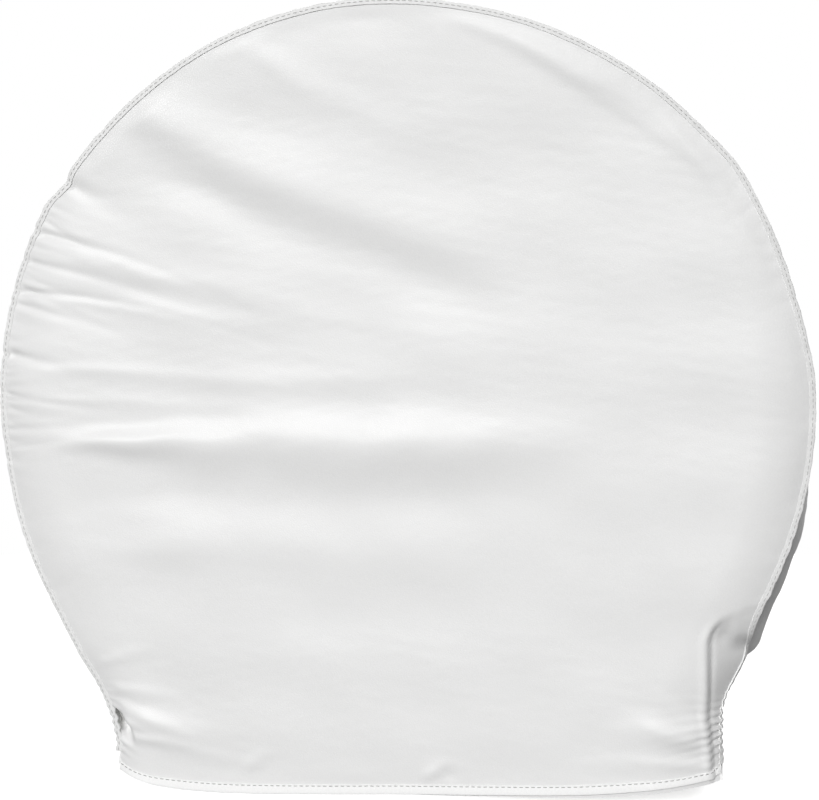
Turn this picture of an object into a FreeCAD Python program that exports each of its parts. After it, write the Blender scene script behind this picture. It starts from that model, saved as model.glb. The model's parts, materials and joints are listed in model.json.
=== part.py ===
"""Wheel and spare tyre cover: a sewn vinyl shell in the shape it takes on a tyre, with its rear strap.

Units are millimetres. The origin is the wheel's centre. +Y is the wheel's axis and points to the rear,
so the face looks along -Y. +Z is up, and the open hem is at the bottom.
The cover's outline is one curve, the seam line. It is given by its right half: a short straight run up from
the hem, a hollow curve, a slanted line, and a quarter and a bit of the big circle up to the top.
Sections are drawn as (n, y): n is the distance outwards from the seam line, and y is the depth.
"""

import FreeCAD
import Part

import math
import os

from FreeCAD import Vector

# Driving dimensions of the shell
SEAM_RADIUS = 403.0        # outside of the tread band round the tyre
NECK_ANGLE = 28.0          # slant of the sides below the circle, from the vertical
NECK_RADIUS = 124.0        # hollow curve that brings the sides upright above the hem
HEM_HALF_WIDTH = 299.0     # half the width at the hem
HEM_DROP = 367.0           # wheel centre down to the hem at the sides and back
HEM_SAG = 22.0             # the face's hem curves down by this much in its middle
SHELL_DEPTH = 224.0        # outside of the face to outside of the back
BAND_WIDTH = 192.0         # tread band, from the front seam to the rear seam
RIM_WIDTH = 52.0           # rounded margin of the face and of the back, measured inwards from the seam
VINYL = 1.4                # lined vinyl
BACK_WIDTH = 130.0         # back panel, from the seam to its inner edge

# Seams and hems
FIN_HEIGHT = 5.0           # bound seams stand out from the shell by this much
FIN_THICKNESS = 2.4
HEM_HEIGHT = 14.0
HEM_THICKNESS = 1.2
CASING_WIDTH = 16.0        # rear casing, across the run of the elastic
CASING_DEPTH = 4.0
CASING_WALL = 0.7
ELASTIC_WIDTH = 10.0
ELASTIC_THICKNESS = 1.8
SIDE_ELASTIC_LENGTH = 75.0 # upright, sewn inside the sides next to each seam
SIDE_ELASTIC_INSET = 17.0  # seam to the middle of the side elastic

# Corner patches, grommets and label
PATCH_SIZE = (60.0, 70.0)
PATCH_CENTRE = (204.0, -328.0)
PATCH_THICKNESS = 1.2
PATCH_CORNER = 8.0
GROMMET_CENTRE = (204.0, -341.0)
GROMMET_BORE = 5.0
GROMMET_BARREL = 6.2
GROMMET_FLANGE = 9.5
GROMMET_SHEET = 0.8
GROMMET_CLEARANCE = 0.05
LABEL_SIZE = (36.0, 0.5, 22.0)
LABEL_CENTRE = (-206.0, -285.0)

# Strap and buckle. The buckle lies along X, with its socket on the left and its plug on the right
STRAP_WIDTH = 25.0
STRAP_THICKNESS = 1.5
STRAP_Z = -314.0
STRAP_SEWN_X = 230.0       # outer end of the sewn part of each strap
BUCKLE_Y = 118.0           # middle plane of the buckle
BUCKLE_WIDTH = 34.0
BUCKLE_THICKNESS = 10.0
BUCKLE_WALL = 3.5
SHELF_WALL = 2.1           # wall of the socket above and below its hollow
SOCKET_LEFT = -44.0
SOCKET_LENGTH = 30.0
SOCKET_BACK_WALL = 4.0
PLUG_GAP = 0.4             # between the socket's mouth and the plug's shoulder
PLUG_BLOCK = 8.0
BAR_RADIUS = 1.6
BAR_REACH = 5.6            # from a buckle half's block to the middle of its first strap bar
LADDER_PITCH = 8.0         # between the plug's middle bar and its end bar
WEBBING_CLEARANCE = 0.3    # between a strap and the bar it goes round
LAYER_GAP = 0.1            # between two layers of the same strap
SCALLOP = (9.0, 6.0)       # finger hollows at the socket's windows: radius, and centre beyond the edge
LATCH_ROOT_RADIUS = 2.0
LATCH_ROOT_Z = 10.0
LATCH_NECK = 2.6
LATCH_TIP = 21.0           # latch root to latch tip
PAD_START = 9.0            # latch root to the shoulder of its pad
PAD_TOP = 15.4
TONGUE = (22.0, 5.0, 6.0)
KEEPER_X = 92.0
KEEPER_WIDTH = 8.0
KEEPER_WALL = 2.0
KEEPER_CLEARANCE = 0.4
TAIL_END_X = 126.0         # free end of the right strap's folded tail

# Worked out from the above
FACE_Y = -SHELL_DEPTH / 2
BACK_Y = SHELL_DEPTH / 2
SEAM_Y = BAND_WIDTH / 2
FACE_DROP = HEM_DROP + HEM_SAG
SAG_RADIUS = (HEM_HALF_WIDTH ** 2 + HEM_SAG ** 2) / (2 * HEM_SAG)
RIM_DEPTH = BACK_Y - SEAM_Y
RIM_RADIUS = (RIM_WIDTH ** 2 + RIM_DEPTH ** 2) / (2 * RIM_DEPTH)
PATCH_TOP = BACK_Y + PATCH_THICKNESS
PLUG_LEFT = SOCKET_LEFT + SOCKET_LENGTH + PLUG_GAP
PLUG_ROOT_X = PLUG_LEFT + 2.4
SHORTEST = 0.01            # lines shorter than this are left out
AXIS_Y = Vector(0, 1, 0)
AXIS_Z = Vector(0, 0, 1)


# ---- Small helpers ----

def arc_mid(centre, radius, start, end):
    """The start, middle and end of an arc, as points in a plane. Angles are in degrees."""
    turns = [math.radians(a) for a in (start, (start + end) / 2, end)]
    return [(centre[0] + radius * math.cos(a), centre[1] + radius * math.sin(a)) for a in turns]


def closed_face(pieces, place):
    """A face inside a ring of lines (two points) and arcs (three points), placed in space by place()."""
    edges = []
    for piece in pieces:
        points = [place(*p) for p in piece]
        edges.append(Part.LineSegment(*points).toShape() if len(points) == 2
                     else Part.Arc(*points).toShape())
    return Part.Face(Part.Wire(edges))


def polygon(points):
    """The sides of a polygon, as lines for closed_face()."""
    return [[points[i], points[(i + 1) % len(points)]] for i in range(len(points))]


def rectangle(low, high):
    return polygon([low, (high[0], low[1]), high, (low[0], high[1])])


def block(x_range, y_range, z_range):
    low = Vector(x_range[0], y_range[0], z_range[0])
    return Part.makeBox(x_range[1] - x_range[0], y_range[1] - y_range[0], z_range[1] - z_range[0], low)


def rod(radius, start, direction, length):
    return Part.makeCylinder(radius, length, start, direction)


def mirrored(shape):
    return shape.mirror(Vector(0, 0, 0), Vector(1, 0, 0))


def joined(shapes):
    whole = shapes[0].fuse(shapes[1:]) if len(shapes) > 1 else shapes[0]
    return whole.removeSplitter()


def save(name, *shapes):
    """Writes one node. Each shape is one or more closed solids."""
    solids = [s for shape in shapes for s in shape.Solids]
    for solid in solids:
        assert solid.isValid() and solid.Volume > 0, name
    Part.makeCompound(solids).exportStep(f"parts/{name}.step")
    print(f"{name}: {len(solids)} solids, {sum(s.Volume for s in solids) / 1000:.1f} cm3")


# ---- The seam line and what is swept along it ----

def seam_runs():
    """The right half of the seam line, from the hem to the top, as lines and arcs in the XZ plane."""
    slant = math.radians(NECK_ANGLE)
    circle_start = (SEAM_RADIUS * math.cos(slant), -SEAM_RADIUS * math.sin(slant))
    hollow_width = NECK_RADIUS * (1 - math.cos(slant))
    slant_length = (circle_start[0] - HEM_HALF_WIDTH - hollow_width) / math.sin(slant)
    slant_start = (circle_start[0] - slant_length * math.sin(slant),
                   circle_start[1] - slant_length * math.cos(slant))
    hollow_z = slant_start[1] - NECK_RADIUS * math.sin(slant)
    hollow_centre = (HEM_HALF_WIDTH + NECK_RADIUS, hollow_z)
    return [("line", (HEM_HALF_WIDTH, -HEM_DROP), (HEM_HALF_WIDTH, hollow_z)),
            ("hollow", hollow_centre, NECK_RADIUS, 180.0, 180.0 - NECK_ANGLE),
            ("line", slant_start, circle_start),
            ("round", (0.0, 0.0), SEAM_RADIUS, -NECK_ANGLE, 90.0)]


def swept_half(section, first_z=-HEM_DROP):
    """The solid that a section (n, y) makes along the right half of the seam line, up from first_z."""
    solids = []
    for kind, *run in seam_runs():
        if kind == "line":
            start, end = run
            if start[1] == -HEM_DROP:
                start = (start[0], first_z)
            along = Vector(end[0] - start[0], 0, end[1] - start[1])
            out = Vector(along.z, 0, -along.x).normalize()
            face = closed_face(section, lambda n, y: Vector(start[0], y, start[1]) + out * n)
            solids.append(face.extrude(along))
        else:
            centre, radius, begin, end = run
            outwards = 1 if kind == "round" else -1
            turn = math.radians(begin)
            ray = Vector(math.cos(turn), 0, math.sin(turn))
            hub = Vector(centre[0], 0, centre[1])
            face = closed_face(section, lambda n, y: hub + ray * (radius + outwards * n) + AXIS_Y * y)
            solids.append(face.revolve(hub, -AXIS_Y, end - begin))
    return joined(solids)


def swept_whole(section, first_z=-HEM_DROP):
    half = swept_half(section, first_z)
    return joined([half, mirrored(half)])


def rim_section(side, inner_n):
    """The rounded margin from the seam inwards, then flat to inner_n. side is -1 in front, 1 at the back."""
    bend_y = side * (BACK_Y - RIM_RADIUS)
    inner_radius = RIM_RADIUS - VINYL
    seam_rise = RIM_RADIUS - RIM_DEPTH

    def arc(radius):
        at_seam = math.degrees(math.asin(seam_rise / radius))
        start, mid, end = arc_mid((-RIM_WIDTH, 0.0), radius, at_seam, 90.0)
        return [(p[0], bend_y + side * p[1]) for p in (start, mid, end)]

    outside, inside = arc(RIM_RADIUS), arc(inner_radius)
    ring = [outside]
    if inner_n < -RIM_WIDTH:
        outer_corner, inner_corner = (inner_n, side * BACK_Y), (inner_n, side * (BACK_Y - VINYL))
        ring += [[outside[2], outer_corner], [outer_corner, inner_corner], [inner_corner, inside[2]]]
    else:
        ring += [[outside[2], inside[2]]]
    return ring + [inside[::-1], [inside[0], outside[0]]]


# ---- The sewn shell ----

def above_sag(depth):
    """A very large cylinder whose lowest line is the face's curved hem, or a curve that much above it."""
    radius = SAG_RADIUS - depth
    return rod(radius, Vector(0, FACE_Y - 10, SAG_RADIUS - FACE_DROP), AXIS_Y, SHELL_DEPTH)


def face_panel():
    """The front: a flat plate inside a rounded margin that follows the seam line."""
    rim = swept_half(rim_section(-1, -RIM_WIDTH), first_z=-FACE_DROP)
    edges = []
    for kind, *run in seam_runs():
        if kind == "line":
            (x0, z0), (x1, z1) = run
            length = math.hypot(x1 - x0, z1 - z0)
            shift = (-RIM_WIDTH * (z1 - z0) / length, RIM_WIDTH * (x1 - x0) / length)
            edges.append([(x0 + shift[0], z0 + shift[1]), (x1 + shift[0], z1 + shift[1])])
        else:
            centre, radius, begin, end = run
            inset = radius - RIM_WIDTH if kind == "round" else radius + RIM_WIDTH
            edges.append(arc_mid(centre, inset, begin, end))
    foot, top, middle = (edges[0][0][0], -FACE_DROP), (0.0, edges[-1][2][1]), (0.0, -FACE_DROP)
    edges[0][0] = foot
    edges[-1][2] = top
    edges += [[top, middle], [middle, foot]]
    plate = closed_face(edges, lambda x, z: Vector(x, FACE_Y, z)).extrude(AXIS_Y * VINYL)
    half = joined([plate, rim])
    return joined([half, mirrored(half)]).common(above_sag(0))


def tread_panel_right():
    return swept_half(rectangle((-VINYL, -SEAM_Y), (0.0, SEAM_Y)))


def corner_holes():
    """The two holes punched for the grommets, through the back panel and the patches."""
    radius = GROMMET_BARREL + GROMMET_CLEARANCE
    x, z = GROMMET_CENTRE
    holes = [rod(radius, Vector(side * x, BACK_Y - 10, z), AXIS_Y, 20) for side in (-1, 1)]
    return Part.makeCompound(holes)


def back_panel():
    return swept_whole(rim_section(1, -BACK_WIDTH)).cut(corner_holes())


def seam_binding(side):
    """A bound seam allowance that stands out from the shell, above the hem."""
    low = (0.0, side * SEAM_Y - FIN_THICKNESS / 2)
    high = (FIN_HEIGHT, side * SEAM_Y + FIN_THICKNESS / 2)
    return swept_whole(rectangle(low, high), first_z=-HEM_DROP + HEM_HEIGHT)


def margin_curve(offset):
    """The right half of the face's outside at the hem, seen from above, moved out by offset."""
    corner_x = HEM_HALF_WIDTH - RIM_WIDTH
    radius = RIM_RADIUS + offset
    at_seam = math.degrees(math.asin((RIM_RADIUS - RIM_DEPTH) / radius))
    points = arc_mid((corner_x, 0.0), radius, at_seam, 90.0)
    return [(p[0], FACE_Y + RIM_RADIUS - p[1]) for p in points]


def hem_wall(low_offset, high_offset, end_x, height):
    """A wall that follows the margin, from the seam to end_x. The offsets are its two sides."""
    inner, outer = margin_curve(low_offset), margin_curve(high_offset)
    end_in, end_out = (end_x, inner[2][1]), (end_x, outer[2][1])
    ring = [inner, [inner[2], end_in], [end_in, end_out], [end_out, outer[2]],
            outer[::-1], [outer[0], inner[0]]]
    return closed_face(ring, lambda x, y: Vector(x, y, 0)).extrude(AXIS_Z * height)


def bottom_hem():
    """The turned hem along the face's lower edge."""
    wall = hem_wall(0.0, HEM_THICKNESS, 0.0, HEM_SAG + HEM_HEIGHT)
    wall.translate(-AXIS_Z * FACE_DROP)
    wall = joined([wall, mirrored(wall)])
    return wall.common(above_sag(0)).cut(above_sag(HEM_HEIGHT))


def rear_hem_right():
    """The hem along the back panel's lower edge, turned to the inside."""
    wall = hem_wall(-VINYL - HEM_THICKNESS, -VINYL, HEM_HALF_WIDTH - BACK_WIDTH, HEM_HEIGHT)
    wall = wall.mirror(Vector(0, 0, 0), AXIS_Y)
    wall.translate(-AXIS_Z * HEM_DROP)
    return wall


def side_hem_right():
    """The turned hem along the tread band's lower edge."""
    half_length = SEAM_Y - FIN_THICKNESS
    return block((HEM_HALF_WIDTH, HEM_HALF_WIDTH + HEM_THICKNESS), (-half_length, half_length),
                 (-HEM_DROP, -HEM_DROP + HEM_HEIGHT))


def side_elastics_right():
    """Upright elastics sewn inside the tread band above the hem. They gather the neck's corners."""
    low_n, high_n = -VINYL - ELASTIC_THICKNESS, -VINYL
    foot, head = -HEM_DROP + HEM_HEIGHT, -HEM_DROP + HEM_HEIGHT + SIDE_ELASTIC_LENGTH
    strips = []
    for side in (-1, 1):
        middle_y = side * (SEAM_Y - SIDE_ELASTIC_INSET)
        strip = swept_half(rectangle((low_n, middle_y - ELASTIC_WIDTH / 2),
                                     (high_n, middle_y + ELASTIC_WIDTH / 2)))
        strips.append(strip.common(block((0, SEAM_RADIUS), (-SEAM_Y, SEAM_Y), (foot, head))))
    return Part.makeCompound(strips)


def rear_casing():
    """The gathered casing round the rear opening. It is a flat tube."""
    low, high = (-BACK_WIDTH - CASING_WIDTH, PATCH_TOP - CASING_DEPTH), (-BACK_WIDTH, PATCH_TOP)
    tube = swept_whole(rectangle(low, high))
    wall = CASING_WALL
    hollow = swept_whole(rectangle((low[0] + wall, low[1] + wall), (high[0] - wall, high[1] - wall)))
    return tube.cut(hollow)


def rear_elastic():
    middle_n, middle_y = -BACK_WIDTH - CASING_WIDTH / 2, PATCH_TOP - CASING_DEPTH / 2
    return swept_whole(rectangle((middle_n - ELASTIC_WIDTH / 2, middle_y - ELASTIC_THICKNESS / 2),
                                 (middle_n + ELASTIC_WIDTH / 2, middle_y + ELASTIC_THICKNESS / 2)))


def corner_patch_right():
    (width, height), (x, z) = PATCH_SIZE, PATCH_CENTRE
    patch = block((x - width / 2, x + width / 2), (BACK_Y, PATCH_TOP), (z - height / 2, z + height / 2))
    upright = [e for e in patch.Edges if abs(e.tangentAt(e.FirstParameter).y) > 0.9]
    return patch.makeFillet(PATCH_CORNER, upright).cut(corner_holes())


def grommet(side):
    """An eyelet pressed through the patch from outside, and the washer it is rolled over."""
    x, z = GROMMET_CENTRE
    inside_y = BACK_Y - VINYL
    washer_y = inside_y - GROMMET_SHEET
    rolled_y = washer_y - GROMMET_SHEET / 2

    def disc(radius, low_y, high_y):
        return rod(radius, Vector(side * x, low_y, z), AXIS_Y, high_y - low_y)

    eyelet = joined([disc(GROMMET_FLANGE, PATCH_TOP, PATCH_TOP + GROMMET_SHEET),
                     disc(GROMMET_BARREL, rolled_y, PATCH_TOP),
                     disc(GROMMET_BARREL + GROMMET_SHEET, rolled_y, washer_y)])
    eyelet = eyelet.cut(disc(GROMMET_BORE, rolled_y - 1, PATCH_TOP + GROMMET_SHEET + 1))
    washer = disc(GROMMET_FLANGE, washer_y, inside_y)
    washer = washer.cut(disc(GROMMET_BARREL + GROMMET_CLEARANCE, washer_y - 1, inside_y + 1))
    return eyelet, washer


def care_label():
    """A blank care label inside, sewn to the back panel."""
    (width, thickness, height), (x, z) = LABEL_SIZE, LABEL_CENTRE
    y_range = (BACK_Y - VINYL - thickness, BACK_Y - VINYL)
    return block((x - width / 2, x + width / 2), y_range, (z - height / 2, z + height / 2))


# ---- Webbing ----

def ribbon(points, radii):
    """Webbing that follows a line of points in the XY plane. Each inner corner is rounded to its radius."""
    half = STRAP_THICKNESS / 2
    vectors = [Vector(x, y, 0) for x, y in points]
    near, far = [], []                       # the two sides of the ribbon, as lines and arcs
    start = vectors[0]
    for i, corner in enumerate(vectors[1:-1], 1):
        before = (corner - vectors[i - 1]).normalize()
        after = (vectors[i + 1] - corner).normalize()
        left = Vector(-before.y, before.x, 0)
        turn = math.atan2(before.cross(after).z, before.dot(after))
        back = radii[i - 1] * math.tan(abs(turn) / 2)
        arc_start, arc_end = corner - before * back, corner + after * back
        centre = arc_start + left * math.copysign(radii[i - 1], turn)
        middle = corner - centre
        middle = middle.normalize()
        for side, shift in ((near, half), (far, -half)):
            bend = radii[i - 1] - shift if turn > 0 else radii[i - 1] + shift
            ends = [centre + (p - centre).normalize() * bend for p in (arc_start, arc_end)]
            if (arc_start - start).Length > SHORTEST:
                side.append([start + left * shift, ends[0]])
            side.append([ends[0], centre + middle * bend, ends[1]])
        start = arc_end
    last = (vectors[-1] - start).normalize()
    left = Vector(-last.y, last.x, 0)
    for side, shift in ((near, half), (far, -half)):
        side.append([start + left * shift, vectors[-1] + left * shift])
    returning = [piece[::-1] for piece in far[::-1]]
    ring = near + [[near[-1][-1], returning[0][0]]] + returning + [[returning[-1][-1], near[0][0]]]
    flat = [[(p.x, p.y) for p in piece] for piece in ring]
    face = closed_face(flat, lambda x, y: Vector(x, y, STRAP_Z - STRAP_WIDTH / 2))
    return face.extrude(AXIS_Z * STRAP_WIDTH)


WRAP_RADIUS = BAR_RADIUS + WEBBING_CLEARANCE + STRAP_THICKNESS / 2   # middle of a layer round a bar
STRAP_LOW = BUCKLE_Y - WRAP_RADIUS
STRAP_HIGH = BUCKLE_Y + WRAP_RADIUS
STRAP_FOLDED = STRAP_LOW + STRAP_THICKNESS + LAYER_GAP
STRAP_ON_PATCH = PATCH_TOP + STRAP_THICKNESS / 2
CASING_EDGE_X = HEM_HALF_WIDTH - BACK_WIDTH - CASING_WIDTH
END_BAR_Y = STRAP_FOLDED + WRAP_RADIUS


def strap_left():
    """Sewn to the left patch, then round the socket's bar, and folded back on itself."""
    bar_x = SOCKET_LEFT - BAR_REACH
    wrap_x = bar_x + WRAP_RADIUS
    points = [(-STRAP_SEWN_X, STRAP_ON_PATCH), (-CASING_EDGE_X + 6, STRAP_ON_PATCH), (-132, STRAP_LOW),
              (wrap_x, STRAP_LOW), (wrap_x, STRAP_HIGH), (bar_x - 3, STRAP_HIGH), (bar_x - 12, STRAP_FOLDED),
              (bar_x - 44, STRAP_FOLDED)]
    return ribbon(points, [12, 12, WRAP_RADIUS, WRAP_RADIUS, 4, 6])


def strap_right():
    """Sewn to the right patch, round the plug's middle bar, and back under its end bar as a tail."""
    bar_x = PLUG_LEFT + PLUG_BLOCK + BAR_REACH
    wrap_x = bar_x - WRAP_RADIUS
    points = [(STRAP_SEWN_X, STRAP_ON_PATCH), (CASING_EDGE_X - 6, STRAP_ON_PATCH), (132, STRAP_LOW),
              (wrap_x, STRAP_LOW), (wrap_x, STRAP_HIGH), (bar_x + 1.4, STRAP_HIGH),
              (bar_x + 6, STRAP_FOLDED), (TAIL_END_X, STRAP_FOLDED)]
    return ribbon(points, [12, 12, WRAP_RADIUS, WRAP_RADIUS, 1.6, 1.6])


def strap_keeper():
    """A moulded loop round both layers of the right strap. It slides along them."""
    low_y = STRAP_LOW - STRAP_THICKNESS / 2 - KEEPER_CLEARANCE
    high_y = low_y + 2 * STRAP_THICKNESS + LAYER_GAP + 2 * KEEPER_CLEARANCE
    half_z = STRAP_WIDTH / 2 + KEEPER_CLEARANCE
    x_range = (KEEPER_X - KEEPER_WIDTH / 2, KEEPER_X + KEEPER_WIDTH / 2)
    outer = block(x_range, (low_y - KEEPER_WALL, high_y + KEEPER_WALL),
                  (STRAP_Z - half_z - KEEPER_WALL, STRAP_Z + half_z + KEEPER_WALL))
    outer = outer.makeFillet(1.2, [e for e in outer.Edges if abs(e.tangentAt(e.FirstParameter).x) > 0.9])
    return outer.cut(block(x_range, (low_y, high_y), (STRAP_Z - half_z, STRAP_Z + half_z)))


# ---- Buckle ----

def strap_bar(x, y=BUCKLE_Y):
    length = BUCKLE_WIDTH - 2 * BUCKLE_WALL
    return rod(BAR_RADIUS, Vector(x, y, STRAP_Z - length / 2), AXIS_Z, length)


def bar_rails(x_range, high_y):
    """The two side rails that hold the strap bars."""
    outer, inner = BUCKLE_WIDTH / 2, BUCKLE_WIDTH / 2 - BUCKLE_WALL
    y_range = (BUCKLE_Y - BAR_RADIUS - 1, high_y)
    return [block(x_range, y_range, (STRAP_Z + inner, STRAP_Z + outer)),
            block(x_range, y_range, (STRAP_Z - outer, STRAP_Z - inner))]


def buckle_block(x_range):
    """The rounded box that both buckle halves start from."""
    half_width, half_depth = BUCKLE_WIDTH / 2, BUCKLE_THICKNESS / 2
    box = block(x_range, (BUCKLE_Y - half_depth, BUCKLE_Y + half_depth),
                (STRAP_Z - half_width, STRAP_Z + half_width))
    return box.makeFillet(2.4, [e for e in box.Edges if abs(e.tangentAt(e.FirstParameter).x) > 0.9])


def buckle_socket():
    """The female half: a flat hollow box, open at its right, with a window in each side for a latch."""
    half_width, room_depth = BUCKLE_WIDTH / 2, BUCKLE_THICKNESS / 2 - SHELF_WALL
    x0, x1 = SOCKET_LEFT, SOCKET_LEFT + SOCKET_LENGTH
    room_y = (BUCKLE_Y - room_depth, BUCKLE_Y + room_depth)
    room = block((x0 + SOCKET_BACK_WALL, x1 + 1), room_y,
                 (STRAP_Z - half_width + BUCKLE_WALL, STRAP_Z + half_width - BUCKLE_WALL))
    window_x = (PLUG_ROOT_X - LATCH_TIP - 0.9, PLUG_ROOT_X - PAD_START + 0.4)
    windows = block(window_x, room_y, (STRAP_Z - half_width - 1, STRAP_Z + half_width + 1))
    radius, beyond = SCALLOP
    hollows = [rod(radius, Vector(sum(window_x) / 2, BUCKLE_Y - BUCKLE_THICKNESS,
                                  STRAP_Z + side * (half_width + beyond)), AXIS_Y, 2 * BUCKLE_THICKNESS)
               for side in (-1, 1)]
    rails = bar_rails((x0 - BAR_REACH - BAR_RADIUS - 0.6, x0), BUCKLE_Y + BAR_RADIUS + 1)
    box = buckle_block((x0, x1)).cut([room, windows, *hollows])
    return joined([box, strap_bar(x0 - BAR_REACH), *rails])


def buckle_plug():
    """The male half without its latches: the block at the mouth, the centre tongue and the strap bars."""
    x0, x1 = PLUG_LEFT, PLUG_LEFT + PLUG_BLOCK
    length, thickness, width = TONGUE
    tongue = block((x0 - length, x0), (BUCKLE_Y - thickness / 2, BUCKLE_Y + thickness / 2),
                   (STRAP_Z - width / 2, STRAP_Z + width / 2))
    tongue = tongue.makeChamfer(1.5, [e for e in tongue.Edges if e.CenterOfMass.x < x0 - length + 0.1])
    middle_bar = x1 + BAR_REACH
    end_bar = middle_bar + LADDER_PITCH
    rails = bar_rails((x1, end_bar + BAR_RADIUS + 0.6), END_BAR_Y + BAR_RADIUS + 0.4)
    bars = [strap_bar(middle_bar), strap_bar(end_bar, END_BAR_Y)]
    plug = joined([buckle_block((x0, x1)), tongue, *bars, *rails])
    # Each latch root sits in a round pocket that opens towards the socket.
    depth = BUCKLE_THICKNESS - 2 * SHELF_WALL
    radius = LATCH_ROOT_RADIUS + 0.15
    for side in (-1, 1):
        z = STRAP_Z + side * LATCH_ROOT_Z
        pocket = rod(radius, Vector(PLUG_ROOT_X, BUCKLE_Y - depth / 2, z), AXIS_Y, depth)
        mouth = block((x0 - 1, PLUG_ROOT_X), (BUCKLE_Y - depth / 2, BUCKLE_Y + depth / 2),
                      (z - radius, z + radius))
        plug = plug.cut(joined([pocket, mouth]))
    return plug


def buckle_latch(side):
    """A sprung latch arm. Its pad fills the socket's side window, and pressing it lets the plug out."""
    thickness = BUCKLE_THICKNESS - 2 * SHELF_WALL - 0.6
    low_y = BUCKLE_Y - thickness / 2
    x, z = PLUG_ROOT_X, LATCH_ROOT_Z
    tip, shoulder = x - LATCH_TIP, x - PAD_START
    outline = [(x, z - LATCH_NECK / 2), (tip, z - LATCH_NECK / 2), (tip, z + 1.5), (tip + 4, PAD_TOP),
               (shoulder, PAD_TOP), (shoulder, z + LATCH_NECK / 2), (x, z + LATCH_NECK / 2)]
    face = closed_face(polygon(outline), lambda px, pz: Vector(px, low_y, STRAP_Z + side * pz))
    arm = face.extrude(AXIS_Y * thickness)
    root = rod(LATCH_ROOT_RADIUS, Vector(x, low_y, STRAP_Z + side * z), AXIS_Y, thickness)
    return joined([arm, root])


def main():
    os.makedirs("parts", exist_ok=True)
    save("face_panel", face_panel())
    right = tread_panel_right()
    save("tread_panel_right", right)
    save("tread_panel_left", mirrored(right))
    save("back_panel", back_panel())
    save("front_seam_binding", seam_binding(-1))
    save("rear_seam_binding", seam_binding(1))
    save("bottom_hem", bottom_hem())
    save("rear_hems", rear_hem_right(), mirrored(rear_hem_right()))
    save("side_hem_right", side_hem_right())
    save("side_hem_left", mirrored(side_hem_right()))
    save("side_elastics", side_elastics_right(), mirrored(side_elastics_right()))
    save("rear_casing", rear_casing())
    save("rear_elastic", rear_elastic())
    save("corner_patch_right", corner_patch_right())
    save("corner_patch_left", mirrored(corner_patch_right()))
    grommets = [grommet(side) for side in (-1, 1)]
    save("grommet_eyelets", *[eyelet for eyelet, _ in grommets])
    save("grommet_washers", *[washer for _, washer in grommets])
    save("care_label", care_label())
    save("strap_left", strap_left())
    save("strap_right", strap_right())
    save("strap_keeper", strap_keeper())
    save("buckle_socket", buckle_socket())
    save("buckle_plug", buckle_plug())
    save("buckle_latch_upper", buckle_latch(1))
    save("buckle_latch_lower", buckle_latch(-1))


main()
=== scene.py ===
"""Wheel and spare tyre cover: the looks of its sewn shell, strap and buckle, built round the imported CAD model.

Lengths are in millimetres until a mesh is made. +Y is the wheel's axis and points to the rear, +Z is up.
The outline is one seam line, measured by u: 0 at the top, negative to the left, +-HALF at the hem's corners.
"""
import json
import math

import bpy
import numpy as np
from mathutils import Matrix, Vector

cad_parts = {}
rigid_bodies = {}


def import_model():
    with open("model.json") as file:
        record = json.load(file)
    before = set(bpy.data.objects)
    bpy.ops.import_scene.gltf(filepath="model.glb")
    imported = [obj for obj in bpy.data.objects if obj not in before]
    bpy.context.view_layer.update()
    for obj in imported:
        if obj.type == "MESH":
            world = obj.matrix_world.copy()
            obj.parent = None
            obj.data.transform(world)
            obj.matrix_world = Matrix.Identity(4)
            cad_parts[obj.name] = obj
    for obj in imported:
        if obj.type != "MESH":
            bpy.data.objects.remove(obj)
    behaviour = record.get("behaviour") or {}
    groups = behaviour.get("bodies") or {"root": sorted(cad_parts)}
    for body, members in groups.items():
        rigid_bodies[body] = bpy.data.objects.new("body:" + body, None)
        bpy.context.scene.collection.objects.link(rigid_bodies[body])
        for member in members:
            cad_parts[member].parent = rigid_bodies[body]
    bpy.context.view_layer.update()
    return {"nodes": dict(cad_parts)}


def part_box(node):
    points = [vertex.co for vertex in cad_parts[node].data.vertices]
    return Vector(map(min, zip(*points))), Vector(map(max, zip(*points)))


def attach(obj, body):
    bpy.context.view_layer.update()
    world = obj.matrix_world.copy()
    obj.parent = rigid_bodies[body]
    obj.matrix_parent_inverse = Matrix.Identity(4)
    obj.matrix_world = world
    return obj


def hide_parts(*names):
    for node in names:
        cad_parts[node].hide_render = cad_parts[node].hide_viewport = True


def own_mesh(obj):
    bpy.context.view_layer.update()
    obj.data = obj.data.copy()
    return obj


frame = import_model()
scene = bpy.context.scene
rng = np.random.default_rng(11)


def corners(node):
    """The lowest and highest corner of a CAD node, in millimetres."""
    low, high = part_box(node)
    return np.array(low) * 1000, np.array(high) * 1000


# Sizes that come from the CAD model
tread_low, tread_high = corners("tread_panel_right")
SEAM_R, SEAM_Y, DROP = tread_high[0], tread_high[1], -tread_low[2]
FACE_Y, FACE_DROP = corners("face_panel")[0][1], -corners("face_panel")[0][2]
BACK_Y = corners("back_panel")[1][1]
HEM_X = corners("side_hem_right")[0][0]
PATCH_TOP = corners("corner_patch_right")[1][1]
casing_low, casing_high = corners("rear_casing")

# Sizes that part.py gives by name
NECK = math.radians(28.0)
NECK_R = 124.0
RIM = 52.0
BACK_WIDTH = 130.0
CASING_WIDTH = 16.0
VINYL = 1.4
FIN_HEIGHT = 5.0
HEM_HEIGHT = 14.0
STITCH = 6.0
RIM_DEPTH = BACK_Y - SEAM_Y
RIM_R = (RIM ** 2 + RIM_DEPTH ** 2) / (2 * RIM_DEPTH)

# The tuck at the right of the neck: its crease, its top edge, and the radius between them
TUCK_X, TUCK_TOP, TUCK_CORNER = 308.5, -206.0, 20.0
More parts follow.
